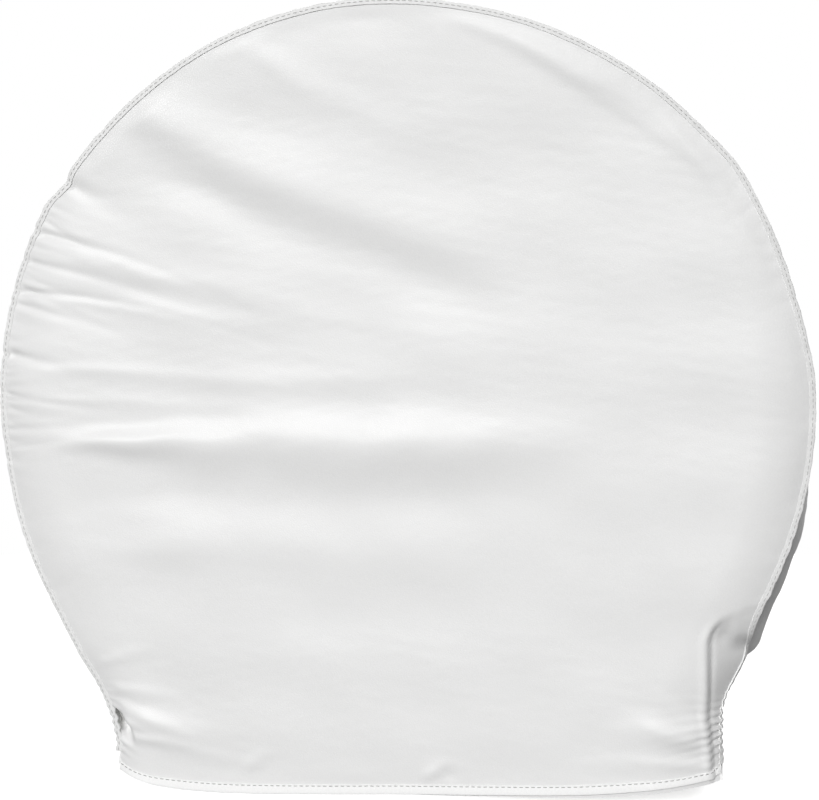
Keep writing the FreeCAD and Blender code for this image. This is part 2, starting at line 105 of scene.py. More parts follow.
# The pocket at the left: its middle, its half length and half width, and its depth
POCKET_X, POCKET_Z, POCKET_LONG, POCKET_WIDE, POCKET_DEPTH = -285.0, -324.0, 25.0, 9.5, 20.0
GATHER_PITCH, CASING_PITCH = 8.5, 10.5

# The seam line's runs, from the hem up: straight, hollow, slant, round
START = np.array([SEAM_R * math.cos(NECK), -SEAM_R * math.sin(NECK)])
SLANT = (START[0] - HEM_X - NECK_R * (1 - math.cos(NECK))) / math.sin(NECK)
SLANT_FOOT = START - SLANT * np.array([math.sin(NECK), math.cos(NECK)])
HOLLOW = np.array([HEM_X + NECK_R, SLANT_FOOT[1] - NECK_R * math.sin(NECK)])
RUN_1 = HOLLOW[1] + DROP
RUN_2 = RUN_1 + NECK_R * NECK
RUN_3 = RUN_2 + SLANT
HALF = RUN_3 + SEAM_R * (math.pi / 2 + NECK)


def smooth(t):
    t = np.clip(t, 0.0, 1.0)
    return t * t * (3 - 2 * t)


def bell(t):
    return np.exp(-t * t)


def in_space(flat, y=0.0):
    """3D points or directions from pairs (x, z), at a depth y."""
    return np.stack([flat[..., 0], y + 0 * flat[..., 0], flat[..., 1]], -1)


def seam(u):
    """Points (x, z) and outward normals of the seam line at u. Beyond the hem it runs straight down."""
    u = np.asarray(u, float)
    side, s = np.where(u < 0, -1.0, 1.0), HALF - np.abs(u)
    hollow_turn = math.pi - (s - RUN_1) / NECK_R
    round_turn = -NECK + (s - RUN_3) / SEAM_R
    runs = [s < RUN_1, s < RUN_2, s < RUN_3]
    x = np.select(runs, [HEM_X + 0 * s, HOLLOW[0] + NECK_R * np.cos(hollow_turn),
                         SLANT_FOOT[0] + (s - RUN_2) * math.sin(NECK)], SEAM_R * np.cos(round_turn))
    z = np.select(runs, [-DROP + s, HOLLOW[1] + NECK_R * np.sin(hollow_turn),
                         SLANT_FOOT[1] + (s - RUN_2) * math.cos(NECK)], SEAM_R * np.sin(round_turn))
    nx = np.select(runs, [1 + 0 * s, -np.cos(hollow_turn), math.cos(NECK) + 0 * s], np.cos(round_turn))
    nz = np.select(runs, [0 * s, -np.sin(hollow_turn), -math.sin(NECK) + 0 * s], np.sin(round_turn))
    return np.stack([side * x, z], -1), np.stack([side * nx, nz], -1)


def nearest(x, z):
    """How far a point of the face is inside the seam line, and the u of the nearest point on it."""
    side, ax = np.where(x < 0, -1.0, 1.0), np.abs(x)
    far = 1e6
    foot_x, foot_z = ax - SLANT_FOOT[0], z - SLANT_FOOT[1]
    turn = np.arctan2(z, ax)
    d_round = np.where(turn >= -NECK, SEAM_R - np.hypot(ax, z), far)
    s_round = RUN_3 + SEAM_R * (turn + NECK)
    along = foot_x * math.sin(NECK) + foot_z * math.cos(NECK)
    across = foot_x * math.cos(NECK) - foot_z * math.sin(NECK)
    d_slant = np.where((along >= 0) & (along <= SLANT), -across, far)
    hollow_turn = np.arctan2(z - HOLLOW[1], ax - HOLLOW[0]) % (2 * math.pi)
    in_hollow = (hollow_turn <= math.pi) & (hollow_turn >= math.pi - NECK)
    d_hollow = np.where(in_hollow, np.hypot(ax - HOLLOW[0], z - HOLLOW[1]) - NECK_R, far)
    d_foot = np.where(z <= HOLLOW[1], HEM_X - ax, far)
    options = np.stack([d_round, d_slant, d_hollow, d_foot])
    s = np.stack([s_round, RUN_2 + along, RUN_1 + NECK_R * (math.pi - hollow_turn), z + DROP])
    pick = np.argmin(options, 0)[None]
    d = np.take_along_axis(options, pick, 0)[0]
    return np.maximum(d, 0.0), side * (HALF - np.take_along_axis(s, pick, 0)[0])


def u_at(z, side):
    """u of the seam line at a height, on one side."""
    s = np.linspace(-30.0, HALF, 4000)
    heights = seam(HALF - s)[0][:, 1]
    return side * (HALF - np.interp(z, heights, s))


def along_seam(keys, soft=10.0):
    """A smooth function of u through (z, side, value) keys."""
    table = np.arange(-HALF - 40, HALF + 40, 2.0)
    points = sorted((float(u_at(z, side)), value) for z, side, value in keys)
    values = np.interp(table, [p[0] for p in points], [p[1] for p in points])
    kernel = bell(np.arange(-15, 16) * 2.0 / soft)
    padded = np.pad(values, 15, mode="edge")
    values = np.convolve(padded, kernel / kernel.sum(), mode="valid")
    return lambda u: np.interp(u, table, values)


L, R = -1, 1    # left and right
SIDES = (("left", L), ("right", R))
FRONT, REAR = np.array([0, -1.0, 0]), np.array([0, 1.0, 0])
# How far the front seam is off its even line: outwards, and back in depth
front_out = along_seam([
    (-389, L, -12), (-340, L, -12), (-312, L, -6), (-292, L, -2), (-252, L, 1), (-152, L, 0), (-82, L, -1),
    (-42, L, -1), (0, L, 1), (78, L, 2), (118, L, 3), (175, L, 3), (206, L, 3), (222, L, -4), (238, L, -1),
    (278, L, -2), (318, L, -2), (358, L, -1), (398, L, -2), (398, R, -5), (358, R, -4), (318, R, -2),
    (278, R, -1.5), (238, R, 3), (205, R, 0), (158, R, -2), (118, R, -3), (78, R, -1), (38, R, 2), (0, R, 2),
    (-42, R, 2), (-152, R, 1), (-192, R, 2), (-212, R, 6), (-226, R, 13), (-238, R, 19), (-252, R, 19),
    (-292, R, 20), (-312, R, 24), (-340, R, 24), (-389, R, 22)], 8)
front_back = along_seam([
    (-389, L, 0), (-330, L, -3), (-250, L, -6), (-150, L, -3), (-60, L, 0), (130, L, -3), (240, L, -15),
    (400, R, -17), (200, R, -14), (110, R, -8), (-20, R, -1), (-190, R, -4), (-389, R, 0)], 14)
# How far its binding leans to the rear, in radians
front_lean = along_seam([
    (-389, L, 0.1), (0, L, 0.1), (400, R, 0.1), (-190, R, 0.1), (-226, R, 0.9), (-250, R, 1.25), (-320, R, 1.25),
    (-350, R, 0.8), (-389, R, 0.4)], 10)
# How far the tread band stands out in its middle
tread_bulge = along_seam([
    (-389, L, 2), (-330, L, 5), (-250, L, 7), (-150, L, 4), (0, L, 2), (300, L, 2), (400, R, 2), (100, R, 3),
    (0, R, 5), (-42, R, 11), (-82, R, 17), (-122, R, 23), (-192, R, 27), (-215, R, 28), (-230, R, 27),
    (-246, R, 14), (-270, R, 5), (-389, R, 4)], 8)


def crown_lean(z):
    """How far the top of the cover leans forwards."""
    return -7.0 * smooth((z - 210) / 190.0)


def tuck(x, z):
    """How far the cloth is tucked back at the right of the neck. The tuck starts at a crease that runs up from
    the hem and curls outwards at its top."""
    from_crease = x - TUCK_X
    a = TUCK_CORNER - (from_crease - 5.0 * smooth((-300 - z) / 50.0))
    b = TUCK_CORNER - (TUCK_TOP - z + 0.35 * from_crease)
    inside = TUCK_CORNER - np.hypot(np.maximum(a, 0), np.maximum(b, 0)) - np.minimum(np.maximum(a, b), 0)
    near_seam = smooth((x - 320) / 24.0)
    strength = smooth((-192 + 20 * near_seam - z) / (36.0 + 26 * near_seam))
    strength = strength * smooth((z + 374) / 26.0) * (x > 0)
    strength = strength * (1 - 0.6 * smooth((x - 318) / 20.0) * smooth((z + 240) / 26.0))
    groove = 5.6 * smooth(inside / 2.6) + 2.3 * bell((inside - 2.4) / 3.2)
    slope = 0.9 - 0.32 * smooth((z + 290) / 50.0)
    return strength * (slope * np.maximum(inside, 0) + groove - 1.6 * bell((inside + 4) / 4.0))


def scatter(first, last, step, depth, width, length, lean=0.25):
    """Random puckers along a seam between two u: rows of (u, depth, width, length, lean)."""
    rows, u = [], first
    while u < last:
        u += step * rng.uniform(0.55, 1.45)
        rows.append((u, depth * rng.uniform(0.35, 1.0), width * rng.uniform(0.7, 1.3),
                     length * rng.uniform(0.3, 1.0) ** 1.5, rng.uniform(-lean, lean)))
    return rows


def lu(z):
    """u of the left seam at a height."""
    return float(u_at(z, L))


def ru(z):
    """u of the right seam at a height."""
    return float(u_at(z, R))


front_puckers = (
    scatter(lu(-60), lu(195), 9.0, -2.3, 2.6, 50) + scatter(lu(-200), lu(-60), 15, -1.3, 3.4, 30)
    + scatter(lu(195), ru(250), 24, -0.7, 4.2, 20) + scatter(ru(250), ru(-60), 20, -0.9, 3.8, 18)
    + scatter(ru(-60), ru(-200), 13, -1.2, 3.4, 22) + scatter(lu(-20), lu(172), 6.5, -1.2, 1.8, 18, 0.5)
    + [(lu(177), -3.2, 2.8, 70, 0.24), (lu(118), -2.8, 2.6, 90, 0.27), (lu(107), -2.4, 2.4, 40, 0.0),
       (lu(55), -4.2, 3.2, 34, -0.05), (lu(148), -2.5, 3.0, 70, 0.2), (lu(228), -4.5, 5.0, 26, 0.1)])
rear_puckers = scatter(lu(-250), ru(-250), 17, -1.3, 3.8, 34)


def puckered(rows, u, away, longer=1.0):
    """Height of a row of puckers at u, at a distance away from their seam."""
    total = np.zeros(np.broadcast(u, away).shape)
    for centre, depth, width, length, lean in rows:
        wide = width * (1 + away / (length * longer) * 0.8)
        total += depth * np.exp(-away / (length * longer)) * bell((u - centre - lean * away) / wide)
    return total * (0.3 + 0.7 * smooth(away / 6.0))


def gathers(u, pitch, seed):
    """Uneven ripples of an elastic's gathers, from -1 to 1."""
    wobble = 2.2 * np.sin(u / 37.0 + seed) + 1.3 * np.sin(u / 17.0 + 2.1 * seed)
    size = 0.75 + 0.25 * np.sin(u / 23.0 + 1.7 * seed)
    return size * np.sin((u + wobble) * 2 * math.pi / pitch)


def crinkle(a, b, size_a, size_b, seed, count=14):
    """Soft random waves over two lengths, about -1 to 1. Their lengths are near size_a and size_b."""
    waves = np.random.default_rng(seed)
    total = 0.0
    for _ in range(count):
        fa, fb = waves.normal(0, 1 / size_a), waves.normal(0, 1 / size_b)
        total = total + np.sin(2 * math.pi * (fa * a + fb * b) + waves.uniform(0, 6.3))
    return total / math.sqrt(count)


# ---- The face ----

# Long folds: (start, end, bow, width above, width below, height, share of the length that fades in and out,
# width at the start as a share). Points are (x, z); a positive height stands out from the face
FOLDS = [
    ((-362, -31), (262, -27), -2, 25, 30, 6.5, (0.14, 0.42), 0.28),
    ((-345, -88), (190, -84), -2, 22, 26, -1.8, (0.30, 0.40), 0.50),
    ((-330, -141), (90, -146), 2, 26, 22, 1.7, (0.25, 0.60), 0.45),
    ((-325, 328), (150, 136), -18, 36, 27, 4.5, (0.08, 0.50), 0.50),
    ((-270, 250), (190, 84), -10, 24, 28, -2.8, (0.22, 0.45), 0.55),
    ((-345, 166), (40, 86), -14, 16, 15, 1.6, (0.15, 0.50), 0.45),
    ((-300, 126), (-20, 104), -5, 14, 14, -1.2, (0.25, 0.60), 0.50),
    ((-365, 120), (-60, 88), -8, 9, 10, 0.9, (0.15, 0.60), 0.50),
    ((-380, 40), (120, 34), -4, 11, 12, 1.1, (0.10, 0.50), 0.45),
    ((-395, 8), (-60, 2), 0, 8, 9, 0.7, (0.10, 0.60), 0.50),
    ((-170, 372), (60, 256), -10, 17, 16, 1.3, (0.20, 0.50), 0.60),
    ((-250, -330), (288, -326), 6, 40, 28, 1.8, (0.25, 0.25), 0.80),
    ((-240, -250), (40, -240), 3, 26, 24, 1.0, (0.40, 0.40), 0.80),
    ((30, 398), (262, 290), 4, 26, 9, 1.6, (0.20, 0.35), 0.80),
    ((86, 388), (330, 215), 5, 20, 8, 1.3, (0.25, 0.35), 0.80),
    ((232, 322), (372, 120), 6, 16, 8, 1.1, (0.25, 0.30), 0.80),
    ((-212, 345), (-100, 392), -4, 14, 9, 1.4, (0.25, 0.35), 0.80),
    # lower left corner: pulls that spread from the elastic
    ((-298, -318), (-150, -338), 4, 18, 15, 3.0, (0.12, 0.70), 0.60),
    ((-300, -300), (-190, -342), 3, 7, 7, 1.8, (0.15, 0.70), 0.55),
    ((-296, -332), (-120, -366), 4, 7, 8, 1.8, (0.10, 0.75), 0.50),
    ((-300, -285), (-200, -300), 2, 8, 8, 1.4, (0.15, 0.75), 0.55),
    ((-312, -262), (-232, -236), 2, 7, 7, 1.0, (0.20, 0.75), 0.55),
    # lower right corner
    ((304, -318), (196, -322), 3, 16, 18, 4.2, (0.12, 0.70), 0.60),
    ((300, -345), (212, -290), 5, 8, 9, 2.0, (0.10, 0.75), 0.45),
    ((302, -352), (150, -352), 3, 8, 9, 1.8, (0.10, 0.80), 0.45),
    ((298, -330), (236, -262), 3, 8, 8, 1.4, (0.12, 0.75), 0.45),
    ((22, -372), (60, -345), 2, 6, 6, 1.6, (0.30, 0.60), 0.70),
    ((60, -374), (36, -352), 1, 5, 5, -1.2, (0.30, 0.60), 0.70),
    ((-160, -372), (-120, -340), 2, 7, 7, 1.0, (0.30, 0.60), 0.70),
]


def fold(x, z, row):
    """Height of one long fold. It runs along a bowed line, and has its own width on each side."""
    start, end, bow, above, below, height, fades, first_width = row
    a, b = np.array(start, float), np.array(end, float)
    length = math.hypot(*(b - a))
    along = (b - a) / length
    up = np.array([-along[1], along[0]])
    if up[1] < 0:
        up = -up
    t = ((x - a[0]) * along[0] + (z - a[1]) * along[1]) / length
    across = (x - a[0]) * up[0] + (z - a[1]) * up[1] - bow * 4 * t * (1 - t)
    across = across + 2.2 * crinkle(x, z, 160, 400, int(abs(start[0]) + abs(start[1])), 4)
    width = np.where(across > 0, above, below) * (first_width + (1 - first_width) * smooth(t / 0.45))
    fade = smooth(t / fades[0]) * smooth((1 - t) / fades[1])
    return height * fade * bell(across / width)


def face_surface(x, z):
    """Points on the outside of the face, for points of its flat outline."""
    d, u = nearest(x, z)
    out = seam(u)[1]
    lift = np.maximum(RIM - d, 0.0) / RIM_R                # sine of the margin's slope
    y = FACE_Y + RIM_R * (1 - np.sqrt(1 - lift ** 2)) * (1 + front_back(u) / RIM_DEPTH)
    near = np.exp(-(d / 34.0) ** 1.3)
    shift = front_out(u) * near
    place = np.stack([x, z], -1) + out * shift[..., None]
    y = y + tuck(place[..., 0], place[..., 1]) + crown_lean(z)
    height = sum(fold(x, z, row) for row in FOLDS) * smooth(d / 22.0)
    calm = smooth((z + FACE_DROP - 4) / 22.0)
    fine = 0.05 * crinkle(x, z, 60, 17, 5) + 0.04 * crinkle(x, z, 34, 26, 6)
    fine = fine + 0.7 * crinkle(x, z, 230, 140, 7, 8)
    height = height * (0.25 + 0.75 * calm) + fine * smooth(d / 18.0) * (0.35 + 0.65 * calm)
    height = height + puckered(front_puckers, u, d)
    s = HALF - np.abs(u)
    corner = bell((s - 42) / 30.0) * np.exp(-d / 13.0)
    ripple = gathers(s + 0.35 * d, GATHER_PITCH, np.where(u < 0, 1.0, 2.0))
    height = height + np.where(u < 0, 1.9, 2.9) * corner * ripple
    # the pocket that the elastic draws in at the left, across a slanting line
    px, pz = place[..., 0] - POCKET_X, place[..., 1] - POCKET_Z
    pocket = 1 - np.hypot((0.63 * px - 0.78 * pz) / POCKET_LONG, (0.78 * px + 0.63 * pz) / POCKET_WIDE)
    y = y + POCKET_DEPTH * smooth(pocket / 0.8)
    turn = smooth(d / 16.0)
    slope = lift * turn + 0.75 * (1 - turn)
    return in_space(place + out * (height * slope)[..., None], y - height * np.sqrt(1 - slope ** 2))



def hem_z(x):
    """Height of the face's lower edge: nearly straight, drawn up at its ends, a little lower at the left."""
    drawn_up, tilt = np.where(x < 0, 22.5, 18.5), np.where(x < 0, 0.030, 0.016)
    return drawn_up * np.abs(x / HEM_X) ** 5 + tilt * x - (FACE_DROP - 4.0)


def face_grid(rows, columns):
    """A net of points over the face's flat outline, between its hem, its two sides and its top."""
    top = SEAM_R * math.pi / 4
    # rows are closer at the neck and where the left seam puckers, columns are closer at the seams
    run = np.linspace(0, HALF - top, 2000)
    at_puckers, at_neck = smooth((run - 290) / 30) * smooth((630 - run) / 30), smooth((160 - run) / 30)
    step = 4.8 - 2.9 * at_puckers - 2.6 * at_neck
    total = np.cumsum(1 / step)
    t = np.interp(np.linspace(total[0], total[-1], rows), total, run)[:, None] / run[-1]
    even = np.linspace(0, 1, columns)[None, :]
    s = 0.34 * even + 0.66 * (0.5 - 0.5 * np.cos(math.pi * even))
    right = seam(HALF + (top - HALF) * t)[0]
    left = right * np.array([-1, 1])
    foot_x = HEM_X * (2 * s - 1)
    foot = np.stack([foot_x, hem_z(foot_x)], -1)
    crown = seam(top * (2 * s - 1))[0]
    s2, t2 = s[..., None], t[..., None]
    ends = [(1 - t2) * (1 - s2) * foot[:, :1], (1 - t2) * s2 * foot[:, -1:],
            t2 * (1 - s2) * crown[:, :1], t2 * s2 * crown[:, -1:]]
    net = (1 - t2) * foot + t2 * crown + (1 - s2) * left + s2 * right - sum(ends)
    return net[..., 0], net[..., 1]


# ---- The tread band and the back ----

def tread_surface(u, y):
    """Points on the outside of the tread band."""
    point, out = seam(u)
    s = HALF - np.abs(u)
    share = (y + SEAM_Y) / (2 * SEAM_Y)
    from_front, from_rear = y + SEAM_Y, SEAM_Y - y
    fold_over = smooth((tread_bulge(u) - 8) / 10)
    rounded = 1 - (y / SEAM_Y) ** 2
    folded = smooth((from_front - 26) / 60) * smooth(from_rear / 90)
    profile = (1 - fold_over) * rounded + fold_over * folded
    n = front_out(u) * (1 - smooth(share)) + tread_bulge(u) * profile
    front_height = puckered(front_puckers, u, from_front, 0.8)
    n = n + front_height + puckered(rear_puckers, u, from_rear, 0.8)
    inner = smooth(from_front / 20) * smooth(from_rear / 20)
    n = n + inner * (0.9 * crinkle(u, y, 70, 190, 21, 8) + 0.16 * crinkle(u, y, 20, 70, 22))
    drawn = bell((s - 52) / 38.0)
    strip = bell((y - SEAM_Y + 17) / 20.0) + bell((y + SEAM_Y - 17) / 20.0)
    seed = np.where(u < 0, 1.0, 2.0)
    ripple = gathers(s + 0.25 * from_front, GATHER_PITCH, seed)
    strength = np.where(u < 0, 1.7, 2.6)
    n = n + drawn * np.minimum(strip, 1.0) * (strength * ripple - 1.6) * smooth((s - 12) / 10)
    corner = bell((s - 42) / 30.0) * np.exp(-from_front / 13.0)
    n = n + 0.7 * corner * gathers(s, GATHER_PITCH, seed)
    foot = point + out * front_out(u)[..., None]
    back = tuck(foot[..., 0], foot[..., 1]) + crown_lean(point[..., 1])
    y = y + front_back(u) * np.exp(-from_front / 30.0) + back * np.exp(-from_front / 45.0)
    lean = 0.66 * np.exp(-from_front / 10.0)
    return in_space(point + out * n[..., None], y - front_height * lean)



def back_surface(u, d):
    """Points on the outside of the back panel, at a distance d inwards from the rear seam."""
    point, out = seam(u)
    s = HALF - np.abs(u)
    lift = np.maximum(RIM - d, 0.0) / RIM_R
    y = BACK_Y - RIM_R * (1 - np.sqrt(1 - lift ** 2))
    flat = smooth((s - 76) / 34.0)                        # the corner patches keep the corners flat
    drawn = smooth((d - 62) / 60.0)
    height = 2.1 * drawn ** 1.5 * gathers(u * (1 - d / 2 / SEAM_R), CASING_PITCH, 3.0) * flat
    waves = 1.0 * crinkle(u, d, 80, 160, 31, 8) + 0.3 * crinkle(u, d, 22, 60, 32)
    height = height + waves * flat * smooth(d / 20)
    height = height + puckered(rear_puckers, u, d) * (0.2 + 0.8 * flat)
    turn = smooth(d / 16.0)
    slope = lift * turn + 0.75 * (1 - turn)
    return in_space(point + out * (height * slope - d)[..., None], y + height * np.sqrt(1 - slope ** 2))



# ---- Meshes ----

def normals_of(P):
    """Unit normals of a net of points, from its rows and columns."""
    a, b = np.gradient(P, axis=0), np.gradient(P, axis=1)
    n = np.cross(b, a)
    return n / np.maximum(np.linalg.norm(n, axis=-1, keepdims=True), 1e-9)


def linked(name, data):
    """A new object of this data, in the scene."""
    thing = bpy.data.objects.new(name, data)
    scene.collection.objects.link(thing)
    return thing


def mesh_object(name, points, polygons, uvs=None, slots=None, sharp=50.0):
    """A smooth mesh from millimetre points, with sharp edges over an angle in degrees."""
    mesh = bpy.data.meshes.new(name)
    mesh.from_pydata((np.asarray(points) / 1000.0).tolist(), [], polygons)
    if uvs is not None:
        layer = mesh.uv_layers.new(name="UVMap")
        corner_uvs = np.asarray(uvs)[np.concatenate(polygons)] / 1000.0
        layer.data.foreach_set("uv", corner_uvs.astype(np.float32).ravel())
    if slots is not None:
        mesh.polygons.foreach_set("material_index", np.asarray(slots, np.int32))
    mesh.polygons.foreach_set("use_smooth", np.ones(len(mesh.polygons), bool))
    mesh.set_sharp_from_angle(angle=math.radians(sharp))
    mesh.validate()
    mesh.update()
    return linked(name, mesh)


def net_faces(rows, columns, wrap_rows=False, wrap_columns=False):
    """The quads of a net of points."""
    r = np.arange(rows if wrap_rows else rows - 1)
    c = np.arange(columns if wrap_columns else columns - 1)
    r, c = np.meshgrid(r, c, indexing="ij")
    r2, c2 = (r + 1) % rows, (c + 1) % columns
    quads = np.stack([r * columns + c, r * columns + c2, r2 * columns + c2, r2 * columns + c], -1)
    return quads.reshape(-1, 4)


def cloth(name, P, outward, thick=VINYL, uv=None, keep=None):
    """A closed sheet of even thickness behind a net of outside points. Slot 0 is outside, slot 1 the lining.
    outward is a direction, or one for each point, that the outside faces; keep picks the net's quads."""
    rows, columns = P.shape[:2]
    N = normals_of(P)
    if np.sum(N * outward) < 0:
        N = -N
    uv = np.zeros((rows, columns, 2)) if uv is None else uv
    outside = net_faces(rows, columns)
    e1, e2 = P[1:, :-1] - P[:-1, :-1], P[:-1, 1:] - P[:-1, :-1]
    if np.sum(np.cross(e2, e1) * N[:-1, :-1]) < 0:
        outside = outside[:, ::-1]
    if keep is not None:
        outside = outside[keep.reshape(-1)]
    count = rows * columns
    inside = outside[:, ::-1] + count
    edges = np.concatenate([outside[:, [i, (i + 1) % 4]] for i in range(4)])
    keys = np.sort(edges, 1) @ np.array([count, 1])
    _, where, uses = np.unique(keys, return_index=True, return_counts=True)
    border = edges[where[uses == 1]]
    rim = np.stack([border[:, 1], border[:, 0], border[:, 0] + count, border[:, 1] + count], -1)
    points = np.concatenate([P.reshape(-1, 3), (P - N * thick).reshape(-1, 3)])
    faces = np.concatenate([outside, inside, rim])
    slots = np.concatenate([np.zeros(len(outside)), np.ones(len(inside)), np.zeros(len(rim))])
    used, faces = np.unique(faces, return_inverse=True)
    uvs = np.concatenate([uv.reshape(-1, 2)] * 2)[used]
    return mesh_object(name, points[used], faces.reshape(-1, 4).tolist(), uvs, slots)


def swept(name, rings, closed_path=False, sharp=50.0):
    """A solid through rings of points, an array (rings, points of a ring, 3)."""
    rows, columns = rings.shape[:2]
    faces = net_faces(rows, columns, closed_path, True)
    steps = np.linalg.norm(np.diff(rings.mean(1), axis=0), axis=-1)
    run = np.concatenate([[0], np.cumsum(steps)])
    girth = np.linalg.norm(np.diff(rings[0], axis=0, append=rings[0][:1]), axis=-1)
    around = np.concatenate([[0], np.cumsum(girth)[:-1]])
    uvs = np.stack(np.broadcast_arrays(run[:, None], around[None, :]), -1).reshape(-1, 2)
    middles = rings.mean(1)
    spin = np.cross(rings[:-1, 0] - middles[:-1], rings[:-1, 1] - middles[:-1])
    volume = np.einsum("ij,ij->", spin, middles[1:] - middles[:-1])
    if volume < 0:
        faces = faces[:, ::-1]
    polygons = faces.tolist()
    if not closed_path:
        first, last = list(range(columns)), list(range((rows - 1) * columns, rows * columns))
        polygons += [first[::-1], last] if volume > 0 else [first, last[::-1]]
    return mesh_object(name, rings.reshape(-1, 3), polygons, uvs, sharp=sharp)


def merged(name, pieces):
    """One object from several of this script's own."""
    for piece in scene.objects:
        piece.select_set(piece in pieces)
    bpy.context.view_layer.objects.active = pieces[0]
    bpy.ops.object.join()
    pieces[0].name = pieces[0].data.name = name
    return pieces[0]


def resampled(path, normal, step):
    """A path of points and its normals, at an even step."""
    run = np.concatenate([[0], np.cumsum(np.linalg.norm(np.diff(path, axis=0), axis=-1))])
    places = np.arange(step / 2, run[-1] - step / 4, step)
    return [np.stack([np.interp(places, run, values[:, i]) for i in range(3)], -1) for values in (path, normal)]


# A stitch's rings: place along it, size, and rise above the cloth
THREAD_RINGS = [(-0.5, 0.25, -0.5), (-0.34, 0.8, 0.35), (0.0, 1.0, 0.75), (0.34, 0.8, 0.35), (0.5, 0.25, -0.5)]


def stitch_object(name, rows, pitch=STITCH, length=4.3, wide=0.85, high=0.55):
    """Rows of stitches as one object. Each row is a path and its surface normals."""
    points, faces, base, sides = [], [], 0, 6
    per = len(THREAD_RINGS) * sides
    one = net_faces(len(THREAD_RINGS), sides, False, True)
    ends = [np.arange(sides)[::-1], np.arange(sides) + per - sides]
    for path, normal in rows:
        centre, n = resampled(path, normal, pitch)
        n = n / np.linalg.norm(n, axis=-1, keepdims=True)
        t = np.gradient(centre, axis=0)
        t = t / np.maximum(np.linalg.norm(t, axis=-1, keepdims=True), 1e-9)
        b = np.cross(n, t)
        t = t + b * rng.normal(0, 0.035, (len(t), 1))
        block = [centre + t * along * length + b * (wide / 2 * size * math.cos(a))
                 + n * (high * 0.5 * (rise + size * math.sin(a)))
                 for along, size, rise in THREAD_RINGS for a in np.linspace(0, 2 * math.pi, sides + 1)[:-1]]
        points.append(np.stack(block, 1).reshape(-1, 3))
        for _ in centre:
            faces += (one + base).tolist() + [(end + base).tolist() for end in ends]
            base += per
    return mesh_object(name, np.concatenate(points), faces, sharp=80.0)


def straight_row(path, normal):
    """A row of stitches on a flat surface."""
    return path, np.tile(normal, (len(path), 1))


def finish_piece(piece, materials, body="cover", replaces=()):
    """Gives a piece its materials and body, and hides the CAD nodes it stands for."""
    for material in materials if isinstance(materials, (list, tuple)) else [materials]:
        piece.data.materials.append(material)
    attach(piece, body)
    if replaces:
        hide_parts(*replaces)
    return piece


# ---- Materials ----

class Nodes:
    """A node tree that is built up by short calls. Inputs are numbers, colours or other nodes' outputs."""

    def __init__(self, owner):
        owner.use_nodes = True
        self.tree = owner.node_tree

    def node(self, kind, inputs=(), output=0, **options):
        node = self.tree.nodes.new("ShaderNode" + kind)
        for key, value in options.items():
            setattr(node, key, value)
        for key, value in dict(inputs).items():
            self.put(node.inputs[key], value)
        return node.outputs[output]

    def put(self, socket, value):
        if isinstance(value, bpy.types.NodeSocket):
            self.tree.links.new(value, socket)
        else:
            socket.default_value = (*value, 1) if socket.type == "RGBA" else value

    def math(self, kind, a, b=0.0, c=0.0):
        return self.node("Math", {0: a, 1: b, 2: c}, operation=kind)

    def span(self, value, low, high, to_low=0.0, to_high=1.0):
        """value, moved from one range to another and kept inside it."""
        return self.node("MapRange", {"Value": value, "From Min": low, "From Max": high,
                                      "To Min": to_low, "To Max": to_high})


class Look(Nodes):
    """A material whose textures sit in one kind of coordinates."""

    def __init__(self, name, coordinates="Object"):
        self.material = bpy.data.materials.new(name)
        super().__init__(self.material)
        self.shader = next(n for n in self.tree.nodes if n.type == "BSDF_PRINCIPLED")
        self.place = self.node("TexCoord", output=coordinates)

    def noise(self, scale, detail=3.0, rough=0.55, stretch=None):
        place = self.node("Mapping", {"Vector": self.place, "Scale": stretch}) if stretch else self.place
        return self.node("TexNoise", {"Vector": place, "Scale": scale, "Detail": detail, "Roughness": rough})

    def wave(self, scale, direction="X", distortion=0.0):
        inputs = {"Vector": self.place, "Scale": scale, "Distortion": distortion, "Detail": 1.0}
        return self.node("TexWave", inputs, "Fac", bands_direction=direction, wave_profile="SIN")

    def tint(self, factor, first, second):
        """The first colour, turned towards the second by factor."""
        return self.node("Mix", {0: factor, 6: first, 7: second}, 2, data_type="RGBA")

    def bump(self, height, distance, strength=1.0, under=None):
        normal = {} if under is None else {"Normal": under}
        return self.node("Bump", {"Height": height, "Distance": distance, "Strength": strength, **normal})

    def done(self, **inputs):
        for key, value in inputs.items():
            self.put(self.shader.inputs[key.replace("_", " ")], value)
        return self.material


def vinyl_look(name, light, dark, rough=0.44, soil=0.10):
    """Satin vinyl on a woven back: fine grain, a faint weave, slight mottling and a little soil."""
    look = Look(name)
    broad = look.noise(7.0, 4.0, 0.6)
    streaks = look.noise(16.0, 4.0, 0.6, (0.5, 1.0, 2.2))
    grain = look.noise(620.0, 3.0, 0.6)
    pores = look.node("TexVoronoi", {"Vector": look.place, "Scale": 900.0, "Randomness": 1.0})
    mottle = look.math("MULTIPLY_ADD", grain, 0.55, look.math("MULTIPLY", broad, 0.45))
    color = look.tint(look.span(mottle, 0.36, 0.64), dark, light)
    dirt = look.span(streaks, 0.55, 0.80, 0.0, soil)
    color = look.tint(dirt, color, (0.66, 0.655, 0.645))
    roughness = look.span(grain, 0.3, 0.7, rough - 0.06, rough + 0.08)
    weave_x = look.wave(330.0, "X")
    weave_z = look.wave(330.0, "Z")
    weave = look.math("MULTIPLY", weave_x, weave_z)
    relief = look.math("MULTIPLY_ADD", weave, 0.35, look.math("MULTIPLY_ADD", grain, 0.8, pores))
    soft = look.bump(look.noise(95.0, 2.0), 0.0006, 0.22)
    normal = look.bump(relief, 0.00012, 0.55, soft)
    return look.done(Base_Color=color, Roughness=roughness, Normal=normal, Sheen_Weight=0.08,
                     Sheen_Roughness=0.5)


